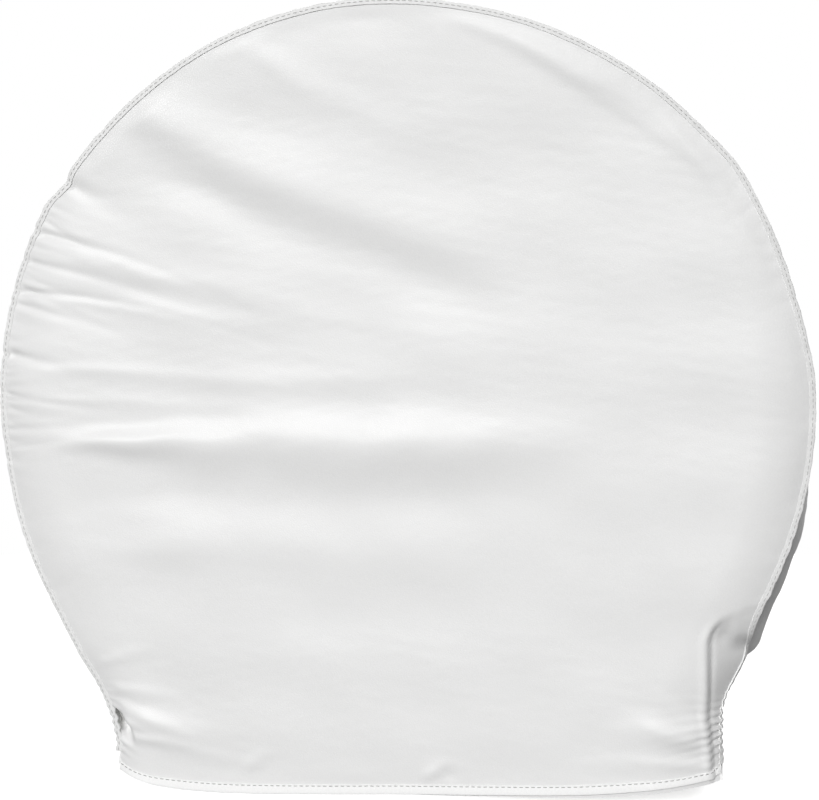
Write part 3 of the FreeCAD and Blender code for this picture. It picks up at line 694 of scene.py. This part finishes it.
def lining_look():
    """The knitted cotton back of the vinyl."""
    look = Look("lining_knit")
    fuzz = look.noise(420.0, 4.0, 0.65)
    rows = look.math("MULTIPLY", look.wave(240.0, "X", 1.5), look.wave(300.0, "Z", 1.5))
    color = look.tint(look.span(fuzz, 0.3, 0.7), (0.60, 0.60, 0.58), (0.74, 0.74, 0.72))
    normal = look.bump(look.math("MULTIPLY_ADD", rows, 0.7, fuzz), 0.0003, 0.8)
    return look.done(Base_Color=color, Roughness=0.92, Normal=normal, Sheen_Weight=0.25, Sheen_Roughness=0.6)


def binding_look(name, dark, light):
    """Binding or hem tape: a fine twill with a satin face."""
    look = Look(name)
    twill = look.wave(520.0, "DIAGONAL", 0.4)
    grain = look.noise(500.0, 3.0, 0.6)
    color = look.tint(look.span(grain, 0.3, 0.7), dark, light)
    normal = look.bump(look.math("MULTIPLY_ADD", twill, 0.8, grain), 0.00016, 0.7)
    return look.done(Base_Color=color, Roughness=look.span(grain, 0.3, 0.7, 0.40, 0.55), Normal=normal,
                     Sheen_Weight=0.1)


def thread_look(name, dark, light):
    """Three-ply polyester thread, darker between its plies and grey overall: painted shade of sunken stitches and
    their needle holes.
    """
    look = Look(name)
    ply = look.wave(1500.0, "DIAGONAL", 1.0)
    color = look.tint(ply, dark, light)
    return look.done(Base_Color=color, Roughness=0.5, Normal=look.bump(ply, 0.0001, 0.6), Sheen_Weight=0.2)


def elastic_look():
    """Braided elastic: cords of rubber with a criss-cross of polyester over them."""
    look = Look("elastic_braid", "UV")
    cords = look.wave(95.0, "Y")
    picks = look.wave(190.0, "X", 0.8)
    relief = look.math("MULTIPLY_ADD", picks, 0.4, cords)
    color = look.tint(relief, (0.62, 0.62, 0.60), (0.86, 0.86, 0.84))
    return look.done(Base_Color=color, Roughness=0.7, Normal=look.bump(relief, 0.0003, 0.8), Sheen_Weight=0.15)


def webbing_look():
    """Flat polypropylene webbing in a plain weave with ribs across it."""
    look = Look("webbing_weave", "UV")
    across = look.wave(210.0, "X", 0.3)
    along = look.wave(160.0, "Y", 0.3)
    fuzz = look.noise(900.0, 2.0)
    relief = look.math("MULTIPLY_ADD", across, 0.6, look.math("MULTIPLY", along, across))
    shade = look.math("MULTIPLY_ADD", fuzz, 0.5, look.math("MULTIPLY", relief, 0.5))
    color = look.tint(look.span(shade, 0.2, 0.8), (0.60, 0.60, 0.58), (0.82, 0.82, 0.80))
    return look.done(Base_Color=color, Roughness=look.span(fuzz, 0.3, 0.7, 0.42, 0.62),
                     Normal=look.bump(relief, 0.00045, 0.8), Sheen_Weight=0.15)


def plastic_look():
    """Moulded acetal with a fine spark-eroded grain, a little rubbed where it is handled."""
    look = Look("buckle_acetal")
    grain = look.noise(2600.0, 2.0)
    rubbed = look.noise(90.0, 4.0, 0.6)
    color = look.tint(look.span(rubbed, 0.35, 0.65), (0.76, 0.76, 0.74), (0.84, 0.84, 0.82))
    return look.done(Base_Color=color, Roughness=look.span(rubbed, 0.35, 0.65, 0.32, 0.46),
                     Normal=look.bump(grain, 0.00005, 0.5))


def nickel_look():
    """Nickel plate over pressed brass, with faint turning marks and dull spots."""
    look = Look("nickel_plate")
    spots = look.noise(260.0, 4.0, 0.65)
    scratches = look.noise(700.0, 2.0, 0.6, (1.0, 1.0, 6.0))
    color = look.tint(look.span(spots, 0.35, 0.65), (0.60, 0.58, 0.54), (0.76, 0.74, 0.70))
    return look.done(Base_Color=color, Metallic=1.0, Roughness=look.span(spots, 0.3, 0.7, 0.18, 0.38),
                     Normal=look.bump(scratches, 0.00004, 0.5))


def label_look():
    """Blank satin label, woven across its width."""
    look = Look("label_satin")
    picks = look.wave(700.0, "Z", 0.5)
    color = look.tint(picks, (0.84, 0.84, 0.84), (0.93, 0.93, 0.93))
    return look.done(Base_Color=color, Roughness=0.38, Normal=look.bump(picks, 0.00008, 0.6), Sheen_Weight=0.2)


vinyl = vinyl_look("vinyl_white", (0.865, 0.865, 0.862), (0.828, 0.828, 0.824))
patch_vinyl = vinyl_look("vinyl_patch", (0.875, 0.875, 0.872), (0.838, 0.838, 0.834), 0.5, 0.06)
lining = lining_look()
# Both threads are coloured grey, darker than white thread: painted shade of the sunken stitches and their needle
# holes. The hem's thread is darker still, for the deeper painted shade along the hem.
thread = thread_look("thread_white_painted_shade", (0.44, 0.44, 0.435), (0.66, 0.66, 0.65))
hem_thread_painted_shade = thread_look("thread_hem_painted_shade", (0.27, 0.27, 0.265), (0.45, 0.45, 0.44))
binding = binding_look("binding_twill", (0.79, 0.79, 0.785), (0.86, 0.86, 0.855))
hem_band = binding_look("hem_twill", (0.90, 0.90, 0.895), (0.96, 0.96, 0.955))
elastic, webbing, plastic = elastic_look(), webbing_look(), plastic_look()
nickel, label_satin = nickel_look(), label_look()


# ---- Camera, light and floor ----

def aim(thing, target):
    thing.rotation_mode = "QUATERNION"
    thing.rotation_quaternion = (Vector(target) - thing.location).to_track_quat("-Z", "Y")


CAMERA_DISTANCE, CAMERA_TURN, CAMERA_RISE = 2.0, math.radians(6.0), math.radians(4.6)
camera_data = bpy.data.cameras.new("camera")
camera = scene.camera = linked("camera", camera_data)
camera_data.lens = 83.85
camera_data.sensor_width = 36.0
camera_data.clip_start, camera_data.clip_end = 0.05, 60.0
camera.location = (CAMERA_DISTANCE * math.sin(CAMERA_TURN) * math.cos(CAMERA_RISE),
                   -CAMERA_DISTANCE * math.cos(CAMERA_TURN) * math.cos(CAMERA_RISE),
                   CAMERA_DISTANCE * math.sin(CAMERA_RISE))
aim(camera, (0.001, 0.0, 0.0034))

scene.view_settings.view_transform = "Standard"


def lamp(name, kind, place, energy, **settings):
    """A light at a place, aimed at the cover."""
    data = bpy.data.lights.new(name, kind)
    data.energy = energy
    for key, value in settings.items():
        setattr(data, key, value)
    light = linked(name, data)
    light.location = place
    light.visible_camera = False
    aim(light, (0, 0, 0))


lamp("key", "SUN", (-1.63, -9.25, 3.42), 2.52, angle=math.radians(20.0))
lamp("rear", "AREA", (1.7, 2.3, 1.9), 44.0, shape="DISK", size=2.0)


def studio_world():
    """White to the camera. As a light it is a soft dome, brighter above than below and brighter at the rear."""
    scene.world = bpy.data.worlds.new("studio")
    nodes = Nodes(scene.world)
    height = nodes.node("SeparateXYZ", {0: nodes.node("TexCoord", output="Generated")}, "Z")
    depth = height.node.outputs["Y"]
    dome = nodes.math("ADD", nodes.span(height, -1.0, 1.0, 0.09, 0.29), nodes.span(depth, 0.0, 1.0, 0.0, 0.4))
    strength = nodes.node("Mix", {0: nodes.node("LightPath", output="Is Camera Ray"), 2: dome, 3: 1.0})
    background = next(n for n in nodes.tree.nodes if n.type == "BACKGROUND")
    nodes.put(background.inputs["Color"], (1, 1, 1))
    nodes.put(background.inputs["Strength"], strength)


studio_world()


def floor():
    """A round floor just under the hem. It lights neither the cloth nor its gloss."""
    radius, height, count = 1.6, -FACE_DROP / 1000 - 0.002, 96
    turns = np.linspace(0, 2 * math.pi, count + 1)[:-1]
    mesh = bpy.data.meshes.new("floor")
    ring = [(radius * math.cos(a), radius * math.sin(a), height) for a in turns]
    mesh.from_pydata(ring, [], [list(range(count))])
    piece = linked("floor", mesh)
    look = Look("floor_paper")
    tone = look.tint(look.noise(60.0), (0.90, 0.90, 0.90), (0.92, 0.92, 0.92))
    piece.data.materials.append(look.done(Base_Color=tone, Roughness=0.9, Emission_Color=(1, 1, 1),
                                          Emission_Strength=0.60))
    piece.visible_diffuse = piece.visible_glossy = False


floor()


# ---- Shell ----

COARSE = 1
fx, fz = face_grid(262 // COARSE, 190 // COARSE)
face = cloth("face_cloth", face_surface(fx, fz), FRONT, uv=np.stack([fx, fz], -1))
finish_piece(face, [vinyl, lining], replaces=["face_panel"])

# distances up from the hem, closer together near the neck
FINE_UNTIL = 105.0
up = np.concatenate([np.arange(0.0, FINE_UNTIL, 1.4 * COARSE),
                     np.linspace(FINE_UNTIL, HALF, int((HALF - FINE_UNTIL) / (3.1 * COARSE)))])
across_band = np.linspace(-SEAM_Y, SEAM_Y, 58 // COARSE)
treads = {}
for name, side in SIDES:
    U, Y = np.meshgrid(side * (HALF - up), across_band, indexing="ij")
    band = tread_surface(U, Y)
    treads[name] = cloth(f"tread_{name}_cloth", band, band * np.array([1.0, 0, 0]), uv=np.stack([U, Y], -1))
    finish_piece(treads[name], [vinyl, lining], replaces=[f"tread_panel_{name}"])

grommet_low, grommet_high = corners("grommet_eyelets")
GROMMET_R = 9.5
GROMMET_X, GROMMET_Z = grommet_high[0] - GROMMET_R, grommet_high[2] - GROMMET_R
CORNER_RUN = 100.0
corner_steps = HALF - np.arange(0, CORNER_RUN, 3.0)
back_u = np.concatenate([-corner_steps, np.linspace(-(HALF - CORNER_RUN), HALF - CORNER_RUN, 760 // COARSE),
                         corner_steps[::-1]])
back_d = np.concatenate([np.linspace(0, RIM, 16)[:-1], np.linspace(RIM, BACK_WIDTH, 26)])
U, D = np.meshgrid(back_u, back_d, indexing="ij")
back_points = back_surface(U, D)
middles = (back_points[1:, 1:] + back_points[:-1, :-1]) / 2
from_grommet = np.hypot(np.abs(middles[..., 0]) - GROMMET_X, middles[..., 2] - GROMMET_Z)
back = cloth("back_cloth", back_points, REAR, uv=np.stack([U, D], -1), keep=from_grommet > 6.6)
finish_piece(back, [vinyl, lining], replaces=["back_panel"])


# ---- Seam fins, hems and casings ----

FIN_SECTION = [(-1.2, -1.0), (1.5, -1.0), (3.8, -1.05), (4.7, -0.75), (5.0, 0.0), (4.7, 0.75), (3.8, 1.05),
               (1.5, 1.0), (-1.2, 1.0)]


def fin(end, seed):
    """The bound allowance that stands out along the front (-1) or rear (1) seam, with a little wave in it."""
    u = np.linspace(-(HALF - HEM_HEIGHT), HALF - HEM_HEIGHT, 900 // COARSE)
    base, out = tread_surface(u, end * SEAM_Y + 0 * u), in_space(seam(u)[1])
    wave = 0.35 * crinkle(u, 0 * u, 26, 50, seed)
    tall = 1 + 0.05 * crinkle(u, 0 * u, 19, 50, seed + 1)
    tilt = (front_lean(u) if end < 0 else 0 * u)[:, None]
    stand = out * np.cos(tilt) + REAR * np.sin(tilt)
    flat = REAR * np.cos(tilt) - out * np.sin(tilt)

    def at(n, y):
        return base + stand * n[:, None] + flat * y[:, None]

    rings = [at(n * tall if n > 0 else n + 0 * tall, y + wave * max(n, 0) / FIN_HEIGHT * 1.3)
             for n, y in FIN_SECTION]
    rows = [(at(1.9 + 0 * tall, face_side * 1.02 + wave * 0.45), flat * face_side) for face_side in (-1, 1)]
    return np.stack(rings, 1), rows


for name, end, seed in (("front", -1, 41), ("rear", 1, 47)):
    rings, rows = fin(end, seed)
    finish_piece(swept(f"{name}_fin", rings), binding, replaces=[f"{name}_seam_binding"])
    finish_piece(stitch_object(f"{name}_fin_stitches", rows), thread)


HEM_SECTION = [(0.0, -0.3), (0.0, 2.2), (0.5, 2.75), (1.5, 2.8), (5, 2.3), (9, 1.65), (11.6, 1.2), (12.6, 1.0),
               (13.5, 0.95), (14.0, 0.4), (14.0, -0.3)]


def hem(at, steps, facing, section=HEM_SECTION):
    """Rings and normals of a turned hem. at(k, v) gives points of the cloth, v above its edge, for positions k
    along it. facing is the direction that the hem's outside faces."""
    K, V = np.meshgrid(steps, [v for v, _ in section], indexing="ij")
    P = at(K, V)
    N = np.cross(at(K, V + 0.5) - at(K, V - 0.5), np.gradient(P, axis=0))
    N = N / np.linalg.norm(N, axis=-1, keepdims=True)
    if np.sum(N * facing) < 0:
        N = -N
    return P + N * np.array([t for _, t in section])[None, :, None], N


def hem_face_point(k, v):
    """The face's hem is narrower at its ends, where it is drawn under."""
    share = 0.67 - 0.17 * smooth((np.abs(k) - 215) / 80)
    return face_surface(k, hem_z(k) + np.maximum(v, 0.0) * share)


def stitch_row(P, N):
    """The line of stitches near a hem's upper edge."""
    return (P[:, 6] + P[:, 7]) / 2, N[:, 6]


hem_x = HEM_X * np.sin(np.linspace(-math.pi / 2, math.pi / 2, 360 // COARSE)) * 0.999
P, N = hem(hem_face_point, hem_x, FRONT)
finish_piece(swept("face_hem", P), hem_band, replaces=["bottom_hem"])
hem_rows = [stitch_row(P, N)]


def side_hem(side):
    def at(k, v):
        return tread_surface(side * (HALF - np.maximum(v, 0.0)), k)
    return hem(at, np.linspace(-SEAM_Y + 0.6, SEAM_Y - 0.6, 90 // COARSE), np.array([side, 0, 0]))


for name, side in SIDES:
    P, N = side_hem(side)
    finish_piece(swept(f"side_{name}_hem", P), hem_band, replaces=[f"side_hem_{name}"])
    hem_rows.append(stitch_row(P, N))

REAR_HEM_SECTION = [(v, VINYL + t) for v, t in ((0.0, 0.0), (0.0, 0.7), (0.8, 1.2), (6, 1.25), (12.6, 1.15),
                                                (14.0, 0.5), (14.0, -0.1), (6, -0.1))]


def rear_hem(side):
    def at(k, v):
        return back_surface(side * (HALF - np.maximum(v, 0.0)), k)
    return hem(at, np.linspace(0.5, BACK_WIDTH - 0.5, 70 // COARSE), FRONT, REAR_HEM_SECTION)


rear_hems = []
for side in (L, R):
    rear_hems.append(swept(f"rear_hem_part_{side + 1}", rear_hem(side)[0]))
    k = np.linspace(2, BACK_WIDTH - 2, 60)
    hem_rows.append(straight_row(back_surface(side * (HALF - 11.5 + 0 * k), k), REAR))
finish_piece(merged("rear_hem_pair", rear_hems), hem_band, replaces=["rear_hems"])
finish_piece(stitch_object("hem_stitches", hem_rows), hem_thread_painted_shade)


def crown_seam():
    """The lapped seam where the two halves of the tread band meet at the top."""
    y = np.linspace(-SEAM_Y + 1.5, SEAM_Y - 1.5, 80)
    section = [(-5.5, -0.3), (-5.4, 0.5), (-4.6, 0.95), (0.0, 1.05), (4.6, 0.95), (5.4, 0.5), (5.5, -0.3)]
    rings = [tread_surface(w + 0 * y, y) + in_space(seam(w + 0 * y)[1]) * lift for w, lift in section]
    up = np.array([0, 0, 1.0])
    rows = [straight_row(tread_surface(w + 0 * y, y) + up, up) for w in (-3.2, 3.2)]
    return swept("crown_seam", np.stack(rings, 1)), rows


strip, crown_rows = crown_seam()
finish_piece(strip, vinyl)
finish_piece(stitch_object("crown_stitches", crown_rows), thread)


def casing():
    """The gathered tube round the rear opening, its stitching, and the flat elastic inside it."""
    u = np.linspace(-HALF + 0.5, HALF - 0.5, 1150 // COARSE)
    point, out = seam(u)
    s = HALF - np.abs(u)
    drawn = smooth((s - 66) / 34.0)
    ripple = gathers(u * (1 - BACK_WIDTH / 2 / SEAM_R), CASING_PITCH, 3.0)
    out = in_space(out)
    centre = in_space(point, (casing_low[1] + casing_high[1]) / 2) - out * (BACK_WIDTH + CASING_WIDTH / 2)
    rings = []
    for a in np.linspace(0, 2 * math.pi, 15)[:-1]:
        c, sn = math.cos(a), math.sin(a)
        wide = 8.6 + drawn * (0.5 * ripple + 0.3 * crinkle(u, 0 * u, 30, 50, 61))
        thick = 1.95 + drawn * (0.75 * ripple + 0.15)
        wide, thick = wide * math.copysign(abs(c) ** 0.75, c), thick * math.copysign(abs(sn) ** 0.75, sn)
        rings.append(centre + out * wide[:, None] + REAR * thick[:, None])
    tube = swept("rear_casing_cloth", np.stack(rings, 1))
    lift = 1.75 + drawn * (0.65 * ripple)
    row = straight_row((centre + out * 5.4 + REAR * lift[:, None])[8:-8], REAR)
    flat_band = [(-5, -0.55), (-4.6, -0.8), (4.6, -0.8), (5, -0.55), (5, 0.55), (4.6, 0.8), (-4.6, 0.8),
                 (-5, 0.55)]
    band = [centre + out * w + REAR * t for w, t in flat_band]
    return tube, row, swept("rear_elastic_band", np.stack(band, 1))


tube, casing_row, rear_band = casing()
finish_piece(tube, vinyl, replaces=["rear_casing"])
finish_piece(rear_band, elastic, replaces=["rear_elastic"])
finish_piece(stitch_object("casing_stitches", [casing_row]), thread)


def side_elastics():
    """Flat elastics sewn inside the tread band, close to its corners."""
    strips = []
    low, high = corners("side_elastics")
    s = np.linspace(HEM_HEIGHT, high[2] + DROP + 1.0, 60)
    section = [(-5, 1.5), (-5, 2.7), (-4.4, 3.1), (-2.2, 2.9), (0, 3.2), (2.2, 2.9), (4.4, 3.1), (5, 2.7),
               (5, 1.5)]
    for side in (L, R):
        for end in (-1, 1):
            y0 = end * (SEAM_Y - 17.0)
            out = in_space(seam(side * (HALF - s))[1])
            rings = [tread_surface(side * (HALF - s), y0 + w + 0 * s) - out * depth for w, depth in section]
            strips.append(swept(f"elastic_{side + 1}_{end + 1}", np.stack(rings, 1)))
    return merged("side_elastic_strips", strips)


finish_piece(side_elastics(), elastic, replaces=["side_elastics"])


# ---- Patches, grommets and label ----

def rounded_outline(half_x, half_z, radius, steps=8):
    """Points round a rounded rectangle about the origin."""
    points = []
    for k in range(4):
        cx = (half_x - radius) * (1 if k in (0, 3) else -1)
        cz = (half_z - radius) * (1 if k in (0, 1) else -1)
        for a in np.linspace(k * math.pi / 2, (k + 1) * math.pi / 2, steps):
            points.append((cx + radius * math.cos(a), cz + radius * math.sin(a)))
    return np.array(points)


PATCH_RADIUS, PATCH_INSET = 8.0, 2.6
# From the hole (0) to the outline (1): the height above the cloth, with a dent under the stitches
PATCH_SECTION = [(0.0, 0.0), (0.0, 1.15), (0.25, 1.2), (0.6, 1.22), (0.88, 1.15), (0.93, 0.95), (0.965, 1.15),
                 (0.99, 0.9), (1.0, 0.3), (1.0, 0.0)]
patch_rows = []
patch_low, patch_high = corners("corner_patch_right")
PATCH_X, PATCH_Z = (patch_low[0] + patch_high[0]) / 2, (patch_low[2] + patch_high[2]) / 2
PATCH_HALF_X, PATCH_HALF_Z = (patch_high[0] - patch_low[0]) / 2, (patch_high[2] - patch_low[2]) / 2
for name, side in SIDES:
    middle = np.array([side * PATCH_X, PATCH_Z])
    # rings from the hole to the outline, in the patch's plane
    outer = rounded_outline(PATCH_HALF_X, PATCH_HALF_Z, PATCH_RADIUS, 16)
    hole = np.array([0.0, GROMMET_Z - PATCH_Z])
    angle = np.arctan2(outer[:, 1] - hole[1], outer[:, 0] - hole[0])
    inner = hole + 6.3 * np.stack([np.cos(angle), np.sin(angle)], -1)
    rings = []
    for share, y in PATCH_SECTION:
        rings.append(in_space(middle + inner + (outer - inner) * share, BACK_Y + y))
    patch = swept(f"patch_{name}", np.stack(rings, 0), True)
    finish_piece(patch, patch_vinyl, replaces=[f"corner_patch_{name}"])
    sewn = rounded_outline(PATCH_HALF_X - PATCH_INSET, PATCH_HALF_Z - PATCH_INSET, 6.0)
    patch_rows.append(straight_row(in_space(middle + np.concatenate([sewn, sewn[:1]]), PATCH_TOP - 0.1), REAR))
finish_piece(stitch_object("patch_stitches", patch_rows, pitch=4.0, length=3.0), thread)


def lathed(name, profile, centres, segments=56):
    """Rings of revolution about Y at each centre. profile is a closed ring of (radius, y)."""
    parts = []
    turns = np.linspace(0, 2 * math.pi, segments + 1)[:-1]
    for k, (cx, cz) in enumerate(centres):
        rings = np.array([[(cx + r * math.cos(a), y, cz + r * math.sin(a)) for r, y in profile] for a in turns])
        parts.append(swept(f"{name}_{k}", rings, True, sharp=40.0))
    return merged(name, parts)


CENTRES = [(side * GROMMET_X, GROMMET_Z) for side in (L, R)]
top, rolled = grommet_high[1], grommet_low[1]
EYELET_TOP = [(5.0, -1.0), (5.15, -0.45), (5.6, -0.12), (6.3, 0.0), (7.4, -0.03), (8.6, -0.2), (9.25, -0.45),
              (9.5, -0.75), (9.3, -0.8), (6.2, -0.8)]
EYELET_ROLL = [(6.2, 0.42), (6.5, 0.38), (6.95, 0.36), (7.0, 0.2), (6.7, 0.02), (6.0, 0.0), (5.3, 0.12)]
EYELET = [(5.0, rolled + 0.5)] + [(r, top + y) for r, y in EYELET_TOP] + [(r, rolled + y) for r, y in EYELET_ROLL]
WASHER_LOW, WASHER_HIGH = (v[1] for v in corners("grommet_washers"))
WASHER = [(6.3, WASHER_LOW + 0.15), (6.6, WASHER_LOW), (8.9, WASHER_LOW), (9.35, WASHER_LOW + 0.15),
          (9.5, WASHER_HIGH - 0.15), (9.4, WASHER_HIGH), (6.3, WASHER_HIGH)]
finish_piece(lathed("eyelets", EYELET, CENTRES), nickel, replaces=["grommet_eyelets"])
finish_piece(lathed("washers", WASHER, CENTRES), nickel, replaces=["grommet_washers"])


def label():
    """A blank label, sewn along its upper edge. Its lower edge curls away from the cloth."""
    low, high = corners("care_label")
    x = np.linspace(low[0], high[0], 26)
    v = np.linspace(0, 1, 18)
    X, V = np.meshgrid(x, v, indexing="xy")
    bow = ((X - (low[0] + high[0]) / 2) / (high[0] - low[0])) ** 2
    Y = high[1] - 0.15 - 3.2 * smooth((V - 0.15) / 0.85) ** 1.4 * (1 - 1.2 * bow)
    P = np.stack([X, Y, high[2] - V * (high[2] - low[2])], -1)
    row = in_space(np.stack([x, high[2] - 2.2 + 0 * x], -1), high[1] - 0.25)
    return cloth("blank_label", P, FRONT, thick=0.35), straight_row(row, FRONT)


label_piece, label_row = label()
finish_piece(label_piece, [label_satin, label_satin], replaces=["care_label"])
finish_piece(stitch_object("label_stitches", [label_row], 3.0, 2.2, 0.6), thread)


# ---- Webbing ----

strap_low, strap_high = corners("strap_left")
STRAP_Z, STRAP_HALF = (strap_low[2] + strap_high[2]) / 2, (strap_high[2] - strap_low[2]) / 2
WRAP = 2.65    # radius of the webbing round a bar, to its middle
# Depths of the webbing's layers: under and over the bars, folded on itself, and on the patch
LOW_Y, HIGH_Y, FOLDED_Y, ON_PATCH = 115.35, 120.65, 116.95, PATCH_TOP + 0.75


def rounded_line(points, radii, longest=2.2):
    """A line of points in the XY plane with its corners rounded, as closely spaced points."""
    vectors = [np.array(p, float) for p in points]
    path = [vectors[0]]
    for i in range(1, len(vectors) - 1):
        before = vectors[i] - vectors[i - 1]
        after = vectors[i + 1] - vectors[i]
        before, after = before / np.linalg.norm(before), after / np.linalg.norm(after)
        left = np.array([-before[1], before[0]])
        turn = math.atan2(before[0] * after[1] - before[1] * after[0], before @ after)
        back = radii[i - 1] * math.tan(abs(turn) / 2)
        first = vectors[i] - before * back
        hub = first + left * math.copysign(radii[i - 1], turn)
        x, y = first - hub
        for a in np.linspace(0, turn, 11):
            path.append(hub + np.array([x * math.cos(a) - y * math.sin(a), x * math.sin(a) + y * math.cos(a)]))
    path.append(vectors[-1])
    out = [path[0]]
    for p in path[1:]:
        last = out[-1]
        gap = np.linalg.norm(p - last)
        if gap < 0.02:
            continue
        count = max(1, int(gap / longest))
        out += [last + (p - last) * k / count for k in range(1, count + 1)]
    return np.array(out)


# The webbing's section, built from one thick selvedge: (across, height)
SELVEDGE = [(12.5, 0.25), (12.3, 0.62), (11.6, 0.75), (10.6, 0.62), (5, 0.66)]
UPPER = [*SELVEDGE, (0, 0.66), *[(-w, h) for w, h in SELVEDGE[::-1]]]
WEB_SECTION = [(w, -h) for w, h in UPPER[::-1]] + UPPER


def web(name, path):
    """Webbing that follows a path in the XY plane, with thick selvedges."""
    t = np.gradient(path, axis=0)
    t = t / np.linalg.norm(t, axis=-1, keepdims=True)
    across = np.stack([-t[:, 1], t[:, 0]], -1)
    rings = [np.column_stack([path + across * h, STRAP_Z + w + 0 * path[:, 0]]) for w, h in WEB_SECTION]
    return swept(name, np.stack(rings, 1), sharp=60.0)


left_path = rounded_line([(-230, ON_PATCH), (-147, ON_PATCH), (-132, LOW_Y), (-46.95, LOW_Y), (-46.95, HIGH_Y),
                          (-52.6, HIGH_Y), (-61.6, FOLDED_Y), (-93.6, FOLDED_Y)], [12, 12, WRAP, WRAP, 4, 6])
finish_piece(web("strap_left_web", left_path), webbing, replaces=["strap_left"])

LOOP_X, SEWN_X = 14.0, 176.0
right_path = rounded_line([(230, ON_PATCH), (SEWN_X, ON_PATCH), (147, ON_PATCH), (132, LOW_Y), (LOOP_X, LOW_Y),
                           (-2.65, LOW_Y), (-2.65, HIGH_Y), (1.4, HIGH_Y), (6, FOLDED_Y), (LOOP_X, FOLDED_Y),
                           (126, FOLDED_Y)], [1, 12, 12, 1, WRAP, WRAP, 1.6, 1.6, 1])


def corner_at(x, y):
    """The index of the path's point nearest to (x, y). The point is put exactly at x."""
    index = int(np.argmin(np.hypot(right_path[:, 0] - x, right_path[:, 1] - y)))
    right_path[index, 0] = x
    return index


corner_low, corner_tail = corner_at(LOOP_X, LOW_Y), corner_at(LOOP_X, FOLDED_Y)
corner_sewn = corner_at(SEWN_X, ON_PATCH)
sewn_end = web("strap_right_end", right_path[:corner_sewn + 1])
span = merged("strap_right_span", [web("span_low", right_path[corner_sewn:corner_low + 1]),
                                   web("span_tail", right_path[corner_tail:])])
loop = web("strap_right_loop", right_path[corner_low:corner_tail + 1])
for piece, body in ((sewn_end, "cover"), (span, "cover"), (loop, "plug")):
    finish_piece(piece, webbing, body, ["strap_right"])
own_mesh(span)


def box_stitch(x0, x1, y):
    """A sewn box with a cross in it, on the strap."""
    z0, z1 = STRAP_Z - 9.0, STRAP_Z + 9.0
    ring = [(x0, z0), (x1, z0), (x1, z1), (x0, z1), (x0, z0)]
    lines = list(zip(ring, ring[1:]))
    lines += [((x0 + 1, z0 + 1), (x1 - 1, z1 - 1)), ((x0 + 1, z1 - 1), (x1 - 1, z0 + 1))]
    share = np.linspace(0, 1, 12)[:, None]
    return [straight_row(in_space(np.array(a) + (np.array(b) - a) * share, y), REAR) for a, b in lines]


strap_rows = box_stitch(-226, -184, ON_PATCH + 0.66) + box_stitch(-90, -68, FOLDED_Y + 0.66)
strap_rows += box_stitch(184, 226, ON_PATCH + 0.66)
finish_piece(stitch_object("strap_stitches", strap_rows, 3.2, 2.6, 0.7, 0.5), thread)


# ---- Buckle and keeper: the CAD nodes stay, with softened edges ----

for node in ("buckle_socket", "buckle_plug", "buckle_latch_upper", "buckle_latch_lower", "strap_keeper"):
    piece = frame["nodes"][node]
    piece.data.materials.clear()
    piece.data.materials.append(plastic)
    for slot in piece.material_slots:
        slot.material = plastic
    edge = piece.modifiers.new("edges", "BEVEL")
    edge.width, edge.segments, edge.limit_method, edge.angle_limit = 0.0003, 2, "ANGLE", math.radians(40)
    edge.harden_normals = True
